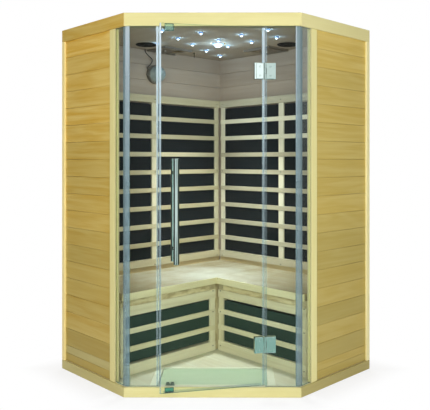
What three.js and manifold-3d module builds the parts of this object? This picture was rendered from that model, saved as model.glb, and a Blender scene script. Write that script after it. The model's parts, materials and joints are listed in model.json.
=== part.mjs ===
// Corner infrared sauna cabin for two: a five-sided timber cabin with a frameless glass front.
// Millimetres, +Z up, the glass front faces -Y. The origin is on the floor, midway between
// the front face and the back corner.

import * as THREE from 'three';
import { mergeVertices } from 'three/addons/utils/BufferGeometryUtils.js';
import Module from 'manifold-3d';

const wasm = await Module();
wasm.setup();

// Cabin outline and heights
const CABIN_HEIGHT = 1900;
const BACK_LENGTH = 1224;        // back corner to the outer face of a side, along a back wall
const SIDE_LENGTH = 604;         // rear edge of a side to the corner of the front
const BASE_HEIGHT = 49;
const CROWN_HEIGHT = 65;
const CEILING_DROP = 42;         // cabin top to the ceiling's underside
const CEILING_THICKNESS = 28;
const ROOF_COVER_THICKNESS = 8;
const TRIM_THICKNESS = 12;       // crown and base boards
const FIT = 0.3;                 // gap between pieces that touch

// Walls of tongue-and-groove boards
const WALL_THICKNESS = 44;
const BOARD_PITCH = 94.5;
const GROOVE_WIDTH = 5;
const GROOVE_DEPTH = 3;
const FOOT_BOARD_HEIGHT = 44;    // lowest board of a side panel
const BATTEN_HEIGHT = 43;        // narrow board above it
const REAR_STILE_WIDTH = 54;
const POST_WIDTH = 45;
const POST_DEPTH = 28;
const POST_PROUD = 6;            // front post stands out from the boards
const POST_TO_CORNER = 88;       // end of the front post to the corner of the outline
const HEAD_RAIL_DEPTH = 60;

// Glass front
const GLASS_THICKNESS = 8;
const GLASS_SETBACK = 20;        // outline to the middle of the glass
const GLASS_SLOT_DEPTH = 12;     // how deep a return pane sits in the post
const GLASS_SLOT_PLAY = 0.5;
const STRIP_LEG = 18;
const STRIP_THICKNESS = 12;
const DOOR_WIDTH = 516;
const DOOR_JOINT = 4;            // gap beside the door
const DOOR_SILL_GAP = 7;
const DOOR_HEAD_GAP = 8;
const DOOR_AJAR_DEG = 13;

// Door hinges
const HINGE_HEIGHT = 80;
const HINGE_LEAF = 53;           // hinge axis to the outer edge of a leaf
const HINGE_PLATE = 6;
const HINGE_RISE = 202;          // door bottom to the middle of the lower hinge
const HINGE_DROP = 215;          // door top to the middle of the upper hinge
const KNUCKLE_RADIUS = 6;
const KNUCKLE_LENGTH = 27;       // middle knuckle, on the door
const PIN_RADIUS = 3;
const PIN_PLAY = 0.4;
const KNUCKLE_PLAY = 0.8;
const BOLT_RADIUS = 5;
const BOLT_PLAY = 1;
const HINGE_BOLT_SPACING = 44;

// Door furniture
const HANDLE_LENGTH = 502;
const HANDLE_RADIUS = 14;
const HANDLE_STANDOFF = 50;      // glass face to the middle of the bar
const HANDLE_POST_RADIUS = 9;
const HANDLE_POST_INSET = 68;
const HANDLE_FROM_EDGE = 72;
const HANDLE_MIDDLE = 928;
const HANDLE_SOCKET_DEPTH = 14;
const STRIKE_WIDTH = 44;
const STRIKE_HEIGHT = 24;
const TOP_STRIKE_HEIGHT = 34;
const STRIKE_THICKNESS = 3;
const STRIKE_FROM_EDGE = 45;
const CATCH_DEPTH = 16;
const CATCH_HEIGHT = 26;
const CATCH_PLAY = 1;

// Bench
const BENCH_TOP = 488;
const BENCH_DEPTH = 478;
const BENCH_THICKNESS = 38;
const KICK_SETBACK = 40;
const CLEAT_WIDTH = 30;
const CLEAT_HEIGHT = 40;
const CLEAT_END = 60;            // end of the cleat to the side

// Grilles and heaters
const SLAT_THICKNESS = 8;
const FRAME_DEPTH = 28;          // stiles behind the slats, which make room for a heater
const CORNER_GAP = 8;            // slat ends to the stile beside the back corner
const KICK_GAP = 10;             // gap between the kick grilles in their corner
const STILE_WIDTH = 42;
const INNER_FIELD_WIDTH = 488;   // field beside the back corner
const STRIP_HEIGHT = 74;         // open strip between two slats
const SLAT_HEIGHT = 37.5;
const GRILLE_DROP = 285;         // ceiling to the top of a back grille
const GRILLE_TOP_BOARD = 48;
const GRILLE_LOW_BOARD = 60;     // least height of the board under the strips
const KICK_STRIP_HEIGHT = 56;
const KICK_SLAT_HEIGHT = 38;
const KICK_TOP_BOARD = 96;
const KICK_LOW_BOARD = 55;
const HEATER_THICKNESS = 5;
const HEATER_PLAY = 4;
const FLOOR_HEATER_WIDTH = 630;
const FLOOR_HEATER_DEPTH = 272;
const FLOOR_HEATER_BEHIND_GLASS = 10;
const FLOOR_HEATER_THICKNESS = 16;
const FLOOR_HEATER_FRAME = 40;   // frame at the ends of the pad
const FLOOR_HEATER_LIP = 10;     // frame along its front and back
const FLOOR_PAD_DROP = 5;        // heated pad under the top of its frame

// Ceiling lights, placed by X and by the distance behind the front face
const STAR_RADIUS = 8;
const STAR_PLAY = 0.6;
const STAR_TIP_RADIUS = 12;      // crystal that hangs under the ceiling
const STAR_TIP_FLAT = 4;
const STAR_TIP_RIM = 3;
const STAR_DROP = 12;
const STAR_ARM_WIDTH = 22;
const STAR_ARM_THICKNESS = 8;
const LAMP_RADIUS = 44;
const LAMP_DROP = 6;
const LAMP_PLACE = [8, 590];
const STAR_PLACES = [
  [-73, 270], [-211, 419], [-143, 602], [-72, 806], [14, 475], [65, 657], [9, 1002],
  [145, 329], [204, 526], [282, 187], [340, 393], [-277, 210], [-347, 570],
];

// Ceiling fittings, placed by the distances from the back corner and from the face of a back wall
const SPEAKER_RADIUS = 62;
const SPEAKER_FLANGE = 6;
const SPEAKER_BASKET = 48;
const SPEAKER_BASKET_HEIGHT = 22;
const SPEAKER_FROM_CORNER = 777;
const SPEAKER_FROM_WALL = 140;
const VENT_FROM_CORNER = 520;
const VENT_FROM_WALL = 96;
const VENT_HOLE_RADIUS = 56;
const VENT_WIDTH = 180;
const VENT_BACK = 68;            // hole centre to the frame end nearer the back corner
const VENT_FRONT = 150;
const VENT_PLATE = 3;
const VENT_LIP = 8;
const SHUTTER_THICKNESS = 5;
const SHUTTER_LENGTH = 130;
const SHUTTER_PLAY = 0.8;
const SHUTTER_OPEN = { left: 82, right: 55 };  // shutter centre past the hole centre
const SHUTTER_KNOB_RADIUS = 9;
const SHUTTER_KNOB_HEIGHT = 12;
const PROBE_FROM_CORNER = 379;
const PROBE_FROM_WALL = 116;
const PROBE_LENGTH = 31;
const PROBE_RADIUS = 3;
const PROBE_TIP = 1;
const PROBE_FLANGE = 9;
const PROBE_FLANGE_THICKNESS = 3;

// Wall lamp on the left back wall, with its lead
const WALL_LAMP_FROM_CORNER = 614;
const WALL_LAMP_DROP = 151;      // ceiling to the middle of the lamp
const WALL_LAMP_RADIUS = 57;
const WALL_LAMP_RIM = 30;
const WALL_LAMP_DOME = 64;
const GLAND_RADIUS = 5;
const GLAND_LENGTH = 10;
const GLAND_ANGLE_DEG = 28;      // gland of the lead, up from the level
const PLUG_ANGLE_DEG = -6;       // spare gland beside it
const LEAD_RADIUS = 2.5;
const LEAD_FROM_WALL = 14;
const LEAD_PAST_GLAND = 18;      // top end of the lead past the tip of the gland
const LEAD_ROUTE = [             // along the wall, away from the wall, share of the way down
  [0, 0, 0], [0, 0, 0.12], [-18, 1, 0.28], [-52, 3, 0.52], [-38, 3, 0.78],
];
const LEAD_END = [3, 1.5, 0];    // last points, in lead radii out of the gland

// Control panel and power box
const PANEL_WIDTH = 140;
const PANEL_HEIGHT = 200;
const PANEL_THICKNESS = 16;
const PANEL_MIDDLE = 1250;
const POWER_WIDTH = 240;
const POWER_HEIGHT = 150;
const POWER_DEPTH = 90;
const POWER_FLOOR_GAP = 90;
const POWER_FROM_CORNER = 330;
const MAINS_GLAND_RADIUS = 11;
const MAINS_GLAND_NOSE = 14;
const MAINS_GLAND_PLAY = 1;

// Facets and cuts
const HOLE_SIDES = 12;
const ROUND_SIDES = 20;
const CRYSTAL_SIDES = 8;
const DOME_STEPS = 6;
const LEAD_SIDES = 8;
const LEAD_STEPS = 28;
const CUT_PAST = 1;              // how far a cut runs past the face it opens

// Sizes that follow from the ones above
const HALF = Math.SQRT1_2;
const CORNER_TAN = Math.SQRT2 - 1;              // half of the 45 degree turn at a front corner
const DEPTH = (BACK_LENGTH + SIDE_LENGTH) * HALF;
const FRONT_Y = -DEPTH / 2;
const BACK_Y = DEPTH / 2;
const FRONT_WIDTH = (BACK_LENGTH - SIDE_LENGTH) * Math.SQRT2;
const CROWN_BOTTOM = CABIN_HEIGHT - CROWN_HEIGHT;
const CEILING_Z = CABIN_HEIGHT - CEILING_DROP;
const CEILING_TOP = CEILING_Z + CEILING_THICKNESS;
const WALL_BOTTOM = BASE_HEIGHT + FIT;
const WALL_TOP = CEILING_Z - FIT;
const SIDE_OUTER = TRIM_THICKNESS + FIT;
const SIDE_INNER = SIDE_OUTER + WALL_THICKNESS;
const SIDE_END = BACK_LENGTH - SIDE_INNER - FIT;  // where pieces along a back wall stop
const POST_END = SIDE_LENGTH - POST_TO_CORNER;
const POST_START = POST_END - POST_WIDTH;
const GLASS_BOTTOM = BASE_HEIGHT + FIT;
const GLASS_TOP = CROWN_BOTTOM - FIT;
const GLASS_CORNER = GLASS_SETBACK * CORNER_TAN;
const BENCH_BOTTOM = BENCH_TOP - BENCH_THICKNESS;
const BENCH_FRONT = WALL_THICKNESS + BENCH_DEPTH;
const KICK_FRONT = BENCH_FRONT - KICK_SETBACK;
const GRILLE_DEPTH = SLAT_THICKNESS + FRAME_DEPTH;
const GRILLE_FRONT = WALL_THICKNESS + FIT + GRILLE_DEPTH;
const DOOR_BOTTOM = BASE_HEIGHT + DOOR_SILL_GAP;
const DOOR_TOP = CROWN_BOTTOM - DOOR_HEAD_GAP;
const HINGE_X = DOOR_WIDTH / 2 + DOOR_JOINT / 2;
const HINGE_Y = FRONT_Y + GLASS_SETBACK - GLASS_THICKNESS / 2 - FIT - HINGE_PLATE;
const GLASS_FACE = HINGE_PLATE + FIT;           // hinge axis to the outer face of the glass
const GLASS_BACK = GLASS_FACE + GLASS_THICKNESS;
const HINGE_MIDDLES = { lower: DOOR_BOTTOM + HINGE_RISE, upper: DOOR_TOP - HINGE_DROP };
const HINGE_BOLT_X = (KNUCKLE_RADIUS + KNUCKLE_PLAY + HINGE_LEAF) / 2;
const CATCH_FACE = GLASS_BACK + FIT + STRIKE_THICKNESS + CATCH_PLAY;
const STRIP_TOP = CEILING_Z - GRILLE_DROP - GRILLE_TOP_BOARD;
const KICK_STRIP_TOP = BENCH_BOTTOM - KICK_TOP_BOARD;
const MAINS_Z = BASE_HEIGHT + POWER_FLOOR_GAP + POWER_HEIGHT / 2;

// Materials
function finish(color, roughness, metalness = 0, opacity = 1) {
  const transparent = opacity < 1;
  return new THREE.MeshStandardMaterial({ color, roughness, metalness, opacity, transparent });
}
const honeyBoards = finish(0xc7a65c, 0.55);
const paleTimber = finish(0xe6d9a6, 0.5);
const insideBoards = finish(0xb9a888, 0.6);
const slatTimber = finish(0xdccb98, 0.55);
const benchTimber = finish(0xe2d3aa, 0.5);
const plywood = finish(0xcdb98a, 0.7);
const heaterBlack = finish(0x23282a, 0.6);
const padGreen = finish(0xc6d3b4, 0.8);
const clearGlass = finish(0xcfe3dd, 0.05, 0, 0.3);
const clearStrip = finish(0xb9d2de, 0.2, 0, 0.5);
const chrome = finish(0xe4e8e8, 0.12, 1);
const darkSteel = finish(0x3c4642, 0.4, 0.8);
const speakerBlack = finish(0x1c1c20, 0.7);
const lightWhite = finish(0xf4f8ff, 0.3);
const lampGrey = finish(0x8d938f, 0.35, 0.5);
const lensWhite = finish(0xdfe6e2, 0.3);
const cableBlack = finish(0x2a2824, 0.6);
const panelBlack = finish(0x25272a, 0.35);
const boxGrey = finish(0xb4b6b4, 0.5, 0.6);

const cabin = new THREE.Group();
const LEFT = 'left';
const RIGHT = 'right';
const HANDS = [LEFT, RIGHT];

function part(parent, name, geometry, material) {
  const mesh = new THREE.Mesh(geometry, material);
  mesh.name = name;
  parent.add(mesh);
}

// A wall's own frame: x along the wall, y into the cabin, z up.
function wallFrame(x, y, degrees) {
  const frame = new THREE.Group();
  frame.position.set(x, y, 0);
  frame.rotation.z = THREE.MathUtils.degToRad(degrees);
  cabin.add(frame);
  return frame;
}
const REAR_X = BACK_LENGTH * HALF;
const REAR_Y = BACK_Y - BACK_LENGTH * HALF;
const backWalls = { left: wallFrame(0, BACK_Y, 225), right: wallFrame(REAR_X, REAR_Y, 135) };
const sideWalls = {
  left: wallFrame(-REAR_X, REAR_Y, 315),
  right: wallFrame(FRONT_WIDTH / 2, FRONT_Y, 45),
};

// Left walls run away from the back of the cabin and right walls run towards it, so a span
// counted from the back corner, or from the rear of a side, turns round on the right hand.
function span(hand, length, from, to) {
  return hand === LEFT ? [from, to] : [length - to, length - from];
}

function block(x0, x1, y0, y1, z0, z1) {
  const geometry = new THREE.BoxGeometry(x1 - x0, y1 - y0, z1 - z0);
  return geometry.translate((x0 + x1) / 2, (y0 + y1) / 2, (z0 + z1) / 2);
}

function outlineShape(points) {
  return new THREE.Shape(points.map(([x, y]) => new THREE.Vector2(x, y)));
}

// Round hole whose flat sides touch the circle, so that a rod of that radius passes.
function roundHole(x, y, radius, sides) {
  const points = [];
  const reach = radius / Math.cos(Math.PI / sides);
  for (let i = 0; i < sides; i += 1) {
    const angle = (2 * Math.PI * i) / sides;
    points.push(new THREE.Vector2(x + reach * Math.cos(angle), y + reach * Math.sin(angle)));
  }
  return new THREE.Path(points);
}

// Upright prism on a plan outline, with round holes given as [x, y, radius].
function prism(points, z0, z1, holes = []) {
  const shape = outlineShape(points);
  for (const [x, y, radius] of holes) shape.holes.push(roundHole(x, y, radius, HOLE_SIDES));
  const geometry = new THREE.ExtrudeGeometry(shape, { depth: z1 - z0, bevelEnabled: false });
  return geometry.translate(0, 0, z0);
}

function cylinder(radius, z0, z1, x = 0, y = 0, sides = ROUND_SIDES) {
  const geometry = new THREE.CylinderGeometry(radius, radius, z1 - z0, sides);
  return geometry.rotateX(Math.PI / 2).translate(x, y, (z0 + z1) / 2);
}

// Rod along y, as a bolt through the glass runs.
function crossRod(radius, y0, y1, x, z, sides = HOLE_SIDES) {
  const geometry = new THREE.CylinderGeometry(radius, radius, y1 - y0, sides);
  return geometry.translate(x, (y0 + y1) / 2, z);
}

function solid(geometry) {
  const bare = geometry.clone();
  bare.deleteAttribute('normal');
  bare.deleteAttribute('uv');
  const merged = mergeVertices(bare, 1e-4);
  return new wasm.Manifold(new wasm.Mesh({
    numProp: 3,
    vertProperties: new Float32Array(merged.attributes.position.array),
    triVerts: new Uint32Array(merged.index.array),
  }));
}

function fromSolid(manifold) {
  const mesh = manifold.getMesh();
  const geometry = new THREE.BufferGeometry();
  geometry.setAttribute('position', new THREE.BufferAttribute(new Float32Array(mesh.vertProperties), 3));
  geometry.setIndex(new THREE.BufferAttribute(new Uint32Array(mesh.triVerts), 1));
  return geometry;
}

function join(pieces, cuts = []) {
  let body = solid(pieces[0]);
  for (const piece of pieces.slice(1)) body = body.add(solid(piece));
  for (const cut of cuts) body = body.subtract(solid(cut));
  return fromSolid(body);
}

// Corners of the cabin outline moved in by a distance at the front, at the sides and at the back.
function pentagon(front, side, back) {
  const frontX = FRONT_WIDTH / 2 + front - Math.SQRT2 * side;
  const rearX = REAR_X - HALF * (back + side);
  const rearY = REAR_Y + HALF * (side - back);
  return [
    [-frontX, FRONT_Y + front], [frontX, FRONT_Y + front],
    [rearX, rearY], [0, BACK_Y - Math.SQRT2 * back], [-rearX, rearY],
  ];
}

// Plan point on a side: distance from the rear edge, and distance in from the outline.
function sidePoint(hand, fromRear, inward) {
  const x = REAR_X - HALF * (fromRear + inward);
  const y = REAR_Y - HALF * (fromRear - inward);
  return [hand === LEFT ? -x : x, y];
}

// Plan point over a back wall: distance from the back corner, and from the wall's inner face.
function ceilingPoint(hand, fromCorner, fromWall) {
  const inward = WALL_THICKNESS + fromWall;
  const x = HALF * (fromCorner - inward);
  const y = BACK_Y - HALF * (fromCorner + inward);
  return [hand === LEFT ? -x : x, y];
}

// Base boards and crown boards, mitred at the front corners
function trimBoards(name, z0, z1) {
  const [outerLeft, outerRight] = pentagon(0, 0, 0);
  const [innerLeft, innerRight] = pentagon(TRIM_THICKNESS, TRIM_THICKNESS, 0);
  const frontOutline = [outerLeft, outerRight, innerRight, innerLeft];
  part(cabin, `${name}_front_board`, prism(frontOutline, z0, z1), paleTimber);
  for (const hand of HANDS) {
    const end = SIDE_LENGTH - FIT;
    const innerEnd = end - TRIM_THICKNESS * CORNER_TAN;
    const outline = [
      sidePoint(hand, 0, 0), sidePoint(hand, end, 0),
      sidePoint(hand, innerEnd, TRIM_THICKNESS), sidePoint(hand, 0, TRIM_THICKNESS),
    ];
    part(cabin, `${name}_${hand}_board`, prism(outline, z0, z1), honeyBoards);
  }
}
trimBoards('base', 0, BASE_HEIGHT);
trimBoards('crown', CROWN_BOTTOM, CABIN_HEIGHT);

const insideTrim = pentagon(TRIM_THICKNESS + FIT, TRIM_THICKNESS + FIT, 0);

// Floor with a framed heater pad let into it behind the door
function floorBlock(endInset, inset, z0, z1) {
  const halfWidth = FLOOR_HEATER_WIDTH / 2 - endInset;
  const front = FRONT_Y + GLASS_SETBACK + GLASS_THICKNESS / 2 + FLOOR_HEATER_BEHIND_GLASS;
  return block(-halfWidth, halfWidth, front + inset, front + FLOOR_HEATER_DEPTH - inset, z0, z1);
}
const heaterBottom = BASE_HEIGHT - FLOOR_HEATER_THICKNESS;
const floorPocket = floorBlock(-FIT, -FIT, heaterBottom - FIT, BASE_HEIGHT + CUT_PAST);
const padHeights = [BASE_HEIGHT - FLOOR_PAD_DROP, BASE_HEIGHT + CUT_PAST];
const padPocket = floorBlock(FLOOR_HEATER_FRAME, FLOOR_HEATER_LIP, ...padHeights);
const floorHeater = join([floorBlock(0, 0, heaterBottom, BASE_HEIGHT)], [padPocket]);
part(cabin, 'floor_panel', join([prism(insideTrim, 0, BASE_HEIGHT)], [floorPocket]), benchTimber);
part(cabin, 'floor_heater', floorHeater, padGreen);

// Head rail over the glass, from post to post
const headRailOutline = [
  sidePoint(LEFT, POST_END + FIT, SIDE_OUTER),
  ...pentagon(SIDE_OUTER, SIDE_OUTER, 0).slice(0, 2),
  sidePoint(RIGHT, POST_END + FIT, SIDE_OUTER),
  sidePoint(RIGHT, POST_END + FIT, HEAD_RAIL_DEPTH),
  ...pentagon(HEAD_RAIL_DEPTH, HEAD_RAIL_DEPTH, 0).slice(0, 2).reverse(),
  sidePoint(LEFT, POST_END + FIT, HEAD_RAIL_DEPTH),
];
part(cabin, 'front_head_rail', prism(headRailOutline, CROWN_BOTTOM, WALL_TOP), paleTimber);

// Walls: an upright section with V grooves at the board joints, drawn out along the wall
function jointHeights(from, to, pitch) {
  const heights = [];
  for (let z = from; z < to - GROOVE_WIDTH; z += pitch) heights.push(z);
  return heights;
}

function wallSection(outer, inner, outerJoints, innerJoints) {
  const groove = (face, depth, z) => [
    [face, z - GROOVE_WIDTH / 2], [face + depth, z], [face, z + GROOVE_WIDTH / 2],
  ];
  const points = [[outer, WALL_BOTTOM], [inner, WALL_BOTTOM]];
  for (const z of innerJoints) points.push(...groove(inner, -GROOVE_DEPTH, z));
  points.push([inner, WALL_TOP], [outer, WALL_TOP]);
  for (const z of [...outerJoints].reverse()) points.push(...groove(outer, GROOVE_DEPTH, z).reverse());
  return outlineShape(points);
}

const alongWall = new THREE.Matrix4().makeBasis(
  new THREE.Vector3(0, 1, 0), new THREE.Vector3(0, 0, 1), new THREE.Vector3(1, 0, 0),
);
function drawAlong(shape, [from, to]) {
  const geometry = new THREE.ExtrudeGeometry(shape, { depth: to - from, bevelEnabled: false });
  return geometry.applyMatrix4(alongWall).translate(from, 0, 0);
}

const footJoint = BASE_HEIGHT + FOOT_BOARD_HEIGHT;
const battenJoint = footJoint + BATTEN_HEIGHT;
const sideJoints = [footJoint, ...jointHeights(battenJoint, WALL_TOP, BOARD_PITCH)];
const boardsDown = jointHeights(BOARD_PITCH, CEILING_Z - BASE_HEIGHT, BOARD_PITCH);
const insideJoints = boardsDown.map((drop) => CEILING_Z - drop).reverse();

for (const hand of HANDS) {
  const section = wallSection(SIDE_OUTER, SIDE_INNER, sideJoints, insideJoints);
  const panel = drawAlong(section, span(hand, SIDE_LENGTH, 0, POST_START - FIT));
  const stileEnds = span(hand, SIDE_LENGTH, 0, REAR_STILE_WIDTH);
  const stile = block(...stileEnds, 0, SIDE_OUTER + GROOVE_DEPTH, WALL_BOTTOM, CROWN_BOTTOM - FIT);
  part(sideWalls[hand], `${hand}_side_panel`, join([panel, stile]), honeyBoards);
}

for (const hand of HANDS) {
  const start = hand === LEFT ? 0 : WALL_THICKNESS + FIT;
  const section = wallSection(0, WALL_THICKNESS, insideJoints, insideJoints);
  const wall = drawAlong(section, span(hand, BACK_LENGTH, start, SIDE_END));
  const glandX = BACK_LENGTH - POWER_FROM_CORNER;
  const holeRadius = MAINS_GLAND_RADIUS + MAINS_GLAND_PLAY;
  const glandHole = crossRod(holeRadius, -CUT_PAST, WALL_THICKNESS + CUT_PAST, glandX, MAINS_Z);
  const geometry = hand === RIGHT ? join([wall], [glandHole]) : wall;
  part(backWalls[hand], `back_${hand}_wall`, geometry, insideBoards);
}

// Front posts, each with an upright slot for a return pane
for (const hand of HANDS) {
  const slotHalf = GLASS_THICKNESS / 2 + GLASS_SLOT_PLAY;
  const slotEnd = POST_END - GLASS_SLOT_DEPTH;
  const outer = SIDE_OUTER - POST_PROUD;
  const outline = [
    sidePoint(hand, POST_START, outer), sidePoint(hand, POST_END, outer),
    sidePoint(hand, POST_END, GLASS_SETBACK - slotHalf), sidePoint(hand, slotEnd, GLASS_SETBACK - slotHalf),
    sidePoint(hand, slotEnd, GLASS_SETBACK + slotHalf), sidePoint(hand, POST_END, GLASS_SETBACK + slotHalf),
    sidePoint(hand, POST_END, outer + POST_DEPTH), sidePoint(hand, POST_START, outer + POST_DEPTH),
  ];
  part(cabin, `${hand}_front_post`, prism(outline, WALL_BOTTOM, CROWN_BOTTOM - FIT), paleTimber);
}

// Fixed glass: return panes, corner strips and the panes beside the door
const glassHalf = GLASS_THICKNESS / 2;
const hingeHoles = Object.values(HINGE_MIDDLES).flatMap((middle) => [
  middle - HINGE_BOLT_SPACING / 2, middle + HINGE_BOLT_SPACING / 2,
]);

// Upright pane in x and z, from y0 to y1, with bolt holes given as [x, z].
function pane(x0, x1, z0, z1, y0, y1, boltHoles = []) {
  const shape = outlineShape([[x0, z0], [x1, z0], [x1, z1], [x0, z1]]);
  for (const [x, z] of boltHoles) {
    shape.holes.push(roundHole(x, z, BOLT_RADIUS + BOLT_PLAY, HOLE_SIDES));
  }
  const geometry = new THREE.ExtrudeGeometry(shape, { depth: y1 - y0, bevelEnabled: false });
  return geometry.rotateX(Math.PI / 2).translate(0, y1, 0);
}

for (const hand of HANDS) {
  const sign = hand === LEFT ? -1 : 1;
  const slotEnd = POST_END - GLASS_SLOT_DEPTH + GLASS_SLOT_PLAY;
  const stripEnd = SIDE_LENGTH - GLASS_CORNER - STRIP_LEG;
  const [glassOuter, glassInner] = [GLASS_SETBACK - glassHalf, GLASS_SETBACK + glassHalf];
  const returnOutline = [
    sidePoint(hand, slotEnd, glassOuter), sidePoint(hand, stripEnd - FIT, glassOuter),
    sidePoint(hand, stripEnd - FIT, glassInner), sidePoint(hand, slotEnd, glassInner),
  ];
  part(cabin, `${hand}_return_pane`, prism(returnOutline, GLASS_BOTTOM, GLASS_TOP), clearGlass);

  const cornerX = FRONT_WIDTH / 2 - GLASS_CORNER;
  const outerFace = GLASS_SETBACK - STRIP_THICKNESS / 2;
  const innerFace = GLASS_SETBACK + STRIP_THICKNESS / 2;
  const outerCorner = pentagon(outerFace, outerFace, 0)[1];
  const innerCorner = pentagon(innerFace, innerFace, 0)[1];
  const stripOutline = [
    [sign * (cornerX - STRIP_LEG), FRONT_Y + outerFace], [sign * outerCorner[0], outerCorner[1]],
    sidePoint(hand, stripEnd, outerFace), sidePoint(hand, stripEnd, innerFace),
    [sign * innerCorner[0], innerCorner[1]], [sign * (cornerX - STRIP_LEG), FRONT_Y + innerFace],
  ];
  part(cabin, `${hand}_corner_strip`, prism(stripOutline, GLASS_BOTTOM, GLASS_TOP), clearStrip);

  const doorEdge = DOOR_WIDTH / 2 + DOOR_JOINT;
  const paneEnds = [sign * doorEdge, sign * (cornerX - STRIP_LEG - FIT)].sort((a, b) => a - b);
  const holes = hand === RIGHT ? hingeHoles.map((z) => [HINGE_X + HINGE_BOLT_X, z]) : [];
  const paneFaces = [FRONT_Y + glassOuter, FRONT_Y + glassInner];
  const fixedPane = pane(...paneEnds, GLASS_BOTTOM, GLASS_TOP, ...paneFaces, holes);
  part(cabin, `${hand}_fixed_pane`, fixedPane, clearGlass);
}

// Door, hung on the hinge axis: x towards the hinge side, y into the cabin
const hingeFrame = new THREE.Group();
hingeFrame.position.set(HINGE_X, HINGE_Y, 0);
cabin.add(hingeFrame);
const door = new THREE.Group();
door.rotation.z = THREE.MathUtils.degToRad(DOOR_AJAR_DEG);
hingeFrame.add(door);

const doorHingeEdge = -DOOR_JOINT / 2;
const doorFreeEdge = doorHingeEdge - DOOR_WIDTH;
const handleX = doorFreeEdge + HANDLE_FROM_EDGE;
const handlePostReach = HANDLE_LENGTH / 2 - HANDLE_POST_INSET;
const handlePosts = [HANDLE_MIDDLE - handlePostReach, HANDLE_MIDDLE + handlePostReach];
const doorHoles = [
  ...hingeHoles.map((z) => [-HINGE_BOLT_X, z]),
  ...handlePosts.map((z) => [handleX, z]),
];
const doorEnds = [doorFreeEdge, doorHingeEdge];
const doorPane = pane(...doorEnds, DOOR_BOTTOM, DOOR_TOP, GLASS_FACE, GLASS_BACK, doorHoles);
part(door, 'door_glass', doorPane, clearGlass);

// A hinge leaf clamps the glass between two plates held by bolts, and carries its knuckles.
function hingeLeaf(sign, middle, knuckles, withPin) {
  const start = KNUCKLE_RADIUS + KNUCKLE_PLAY;
  const ends = [sign * start, sign * HINGE_LEAF].sort((a, b) => a - b);
  const bottom = middle - HINGE_HEIGHT / 2;
  const top = middle + HINGE_HEIGHT / 2;
  const innerPlate = GLASS_BACK + FIT;
  const pieces = [
    block(...ends, 0, HINGE_PLATE, bottom, top),
    block(...ends, innerPlate, innerPlate + HINGE_PLATE, bottom, top),
  ];
  for (const offset of [-HINGE_BOLT_SPACING / 2, HINGE_BOLT_SPACING / 2]) {
    const boltEnd = innerPlate + HINGE_PLATE / 2;
    pieces.push(crossRod(BOLT_RADIUS, HINGE_PLATE / 2, boltEnd, sign * HINGE_BOLT_X, middle + offset));
  }
  const webEnds = [0, sign * (start + HINGE_PLATE / 2)].sort((a, b) => a - b);
  for (const [from, to] of knuckles) {
    pieces.push(cylinder(KNUCKLE_RADIUS, middle + from, middle + to));
    pieces.push(block(...webEnds, 0, HINGE_PLATE / 2, middle + from, middle + to));
  }
  if (withPin) return join([...pieces, cylinder(PIN_RADIUS, bottom, top, 0, 0, HOLE_SIDES)]);
  return join(pieces, [cylinder(PIN_RADIUS + PIN_PLAY, bottom, top, 0, 0, HOLE_SIDES)]);
}
const doorKnuckle = KNUCKLE_LENGTH / 2;
const outerKnuckle = doorKnuckle + KNUCKLE_PLAY;
for (const [level, middle] of Object.entries(HINGE_MIDDLES)) {
  const paneKnuckles = [[-HINGE_HEIGHT / 2, -outerKnuckle], [outerKnuckle, HINGE_HEIGHT / 2]];
  part(hingeFrame, `${level}_hinge_pane_leaf`, hingeLeaf(1, middle, paneKnuckles, true), chrome);
  const doorKnuckles = [[-doorKnuckle, doorKnuckle]];
  part(door, `${level}_hinge_door_leaf`, hingeLeaf(-1, middle, doorKnuckles, false), chrome);
}

// Back-to-back handles: the outer one carries the bolts that screw into the inner one
function handleBar(y) {
  const end = HANDLE_LENGTH / 2;
  const bevel = HANDLE_RADIUS / 4;
  const profile = [
    [0, -end], [HANDLE_RADIUS - bevel, -end], [HANDLE_RADIUS, bevel - end],
    [HANDLE_RADIUS, end - bevel], [HANDLE_RADIUS - bevel, end], [0, end],
  ].map(([x, z]) => new THREE.Vector2(x, z));
  const geometry = new THREE.LatheGeometry(profile, ROUND_SIDES);
  return geometry.rotateX(Math.PI / 2).translate(handleX, y, HANDLE_MIDDLE);
}
const outerBarY = GLASS_FACE - HANDLE_STANDOFF;
const innerBarY = GLASS_BACK + HANDLE_STANDOFF;
const outerPieces = [handleBar(outerBarY)];
const innerPieces = [handleBar(innerBarY)];
const sockets = [];
for (const z of handlePosts) {
  const socketEnd = GLASS_BACK + HANDLE_SOCKET_DEPTH;
  outerPieces.push(crossRod(HANDLE_POST_RADIUS, outerBarY, GLASS_FACE - FIT, handleX, z));
  outerPieces.push(crossRod(BOLT_RADIUS, outerBarY, socketEnd - FIT, handleX, z));
  innerPieces.push(crossRod(HANDLE_POST_RADIUS, GLASS_BACK + FIT, innerBarY, handleX, z));
  sockets.push(crossRod(BOLT_RADIUS + PIN_PLAY, GLASS_BACK, socketEnd, handleX, z));
}
part(door, 'outer_door_handle', join(outerPieces), chrome);
part(door, 'inner_door_handle', join(innerPieces, sockets), chrome);

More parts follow.
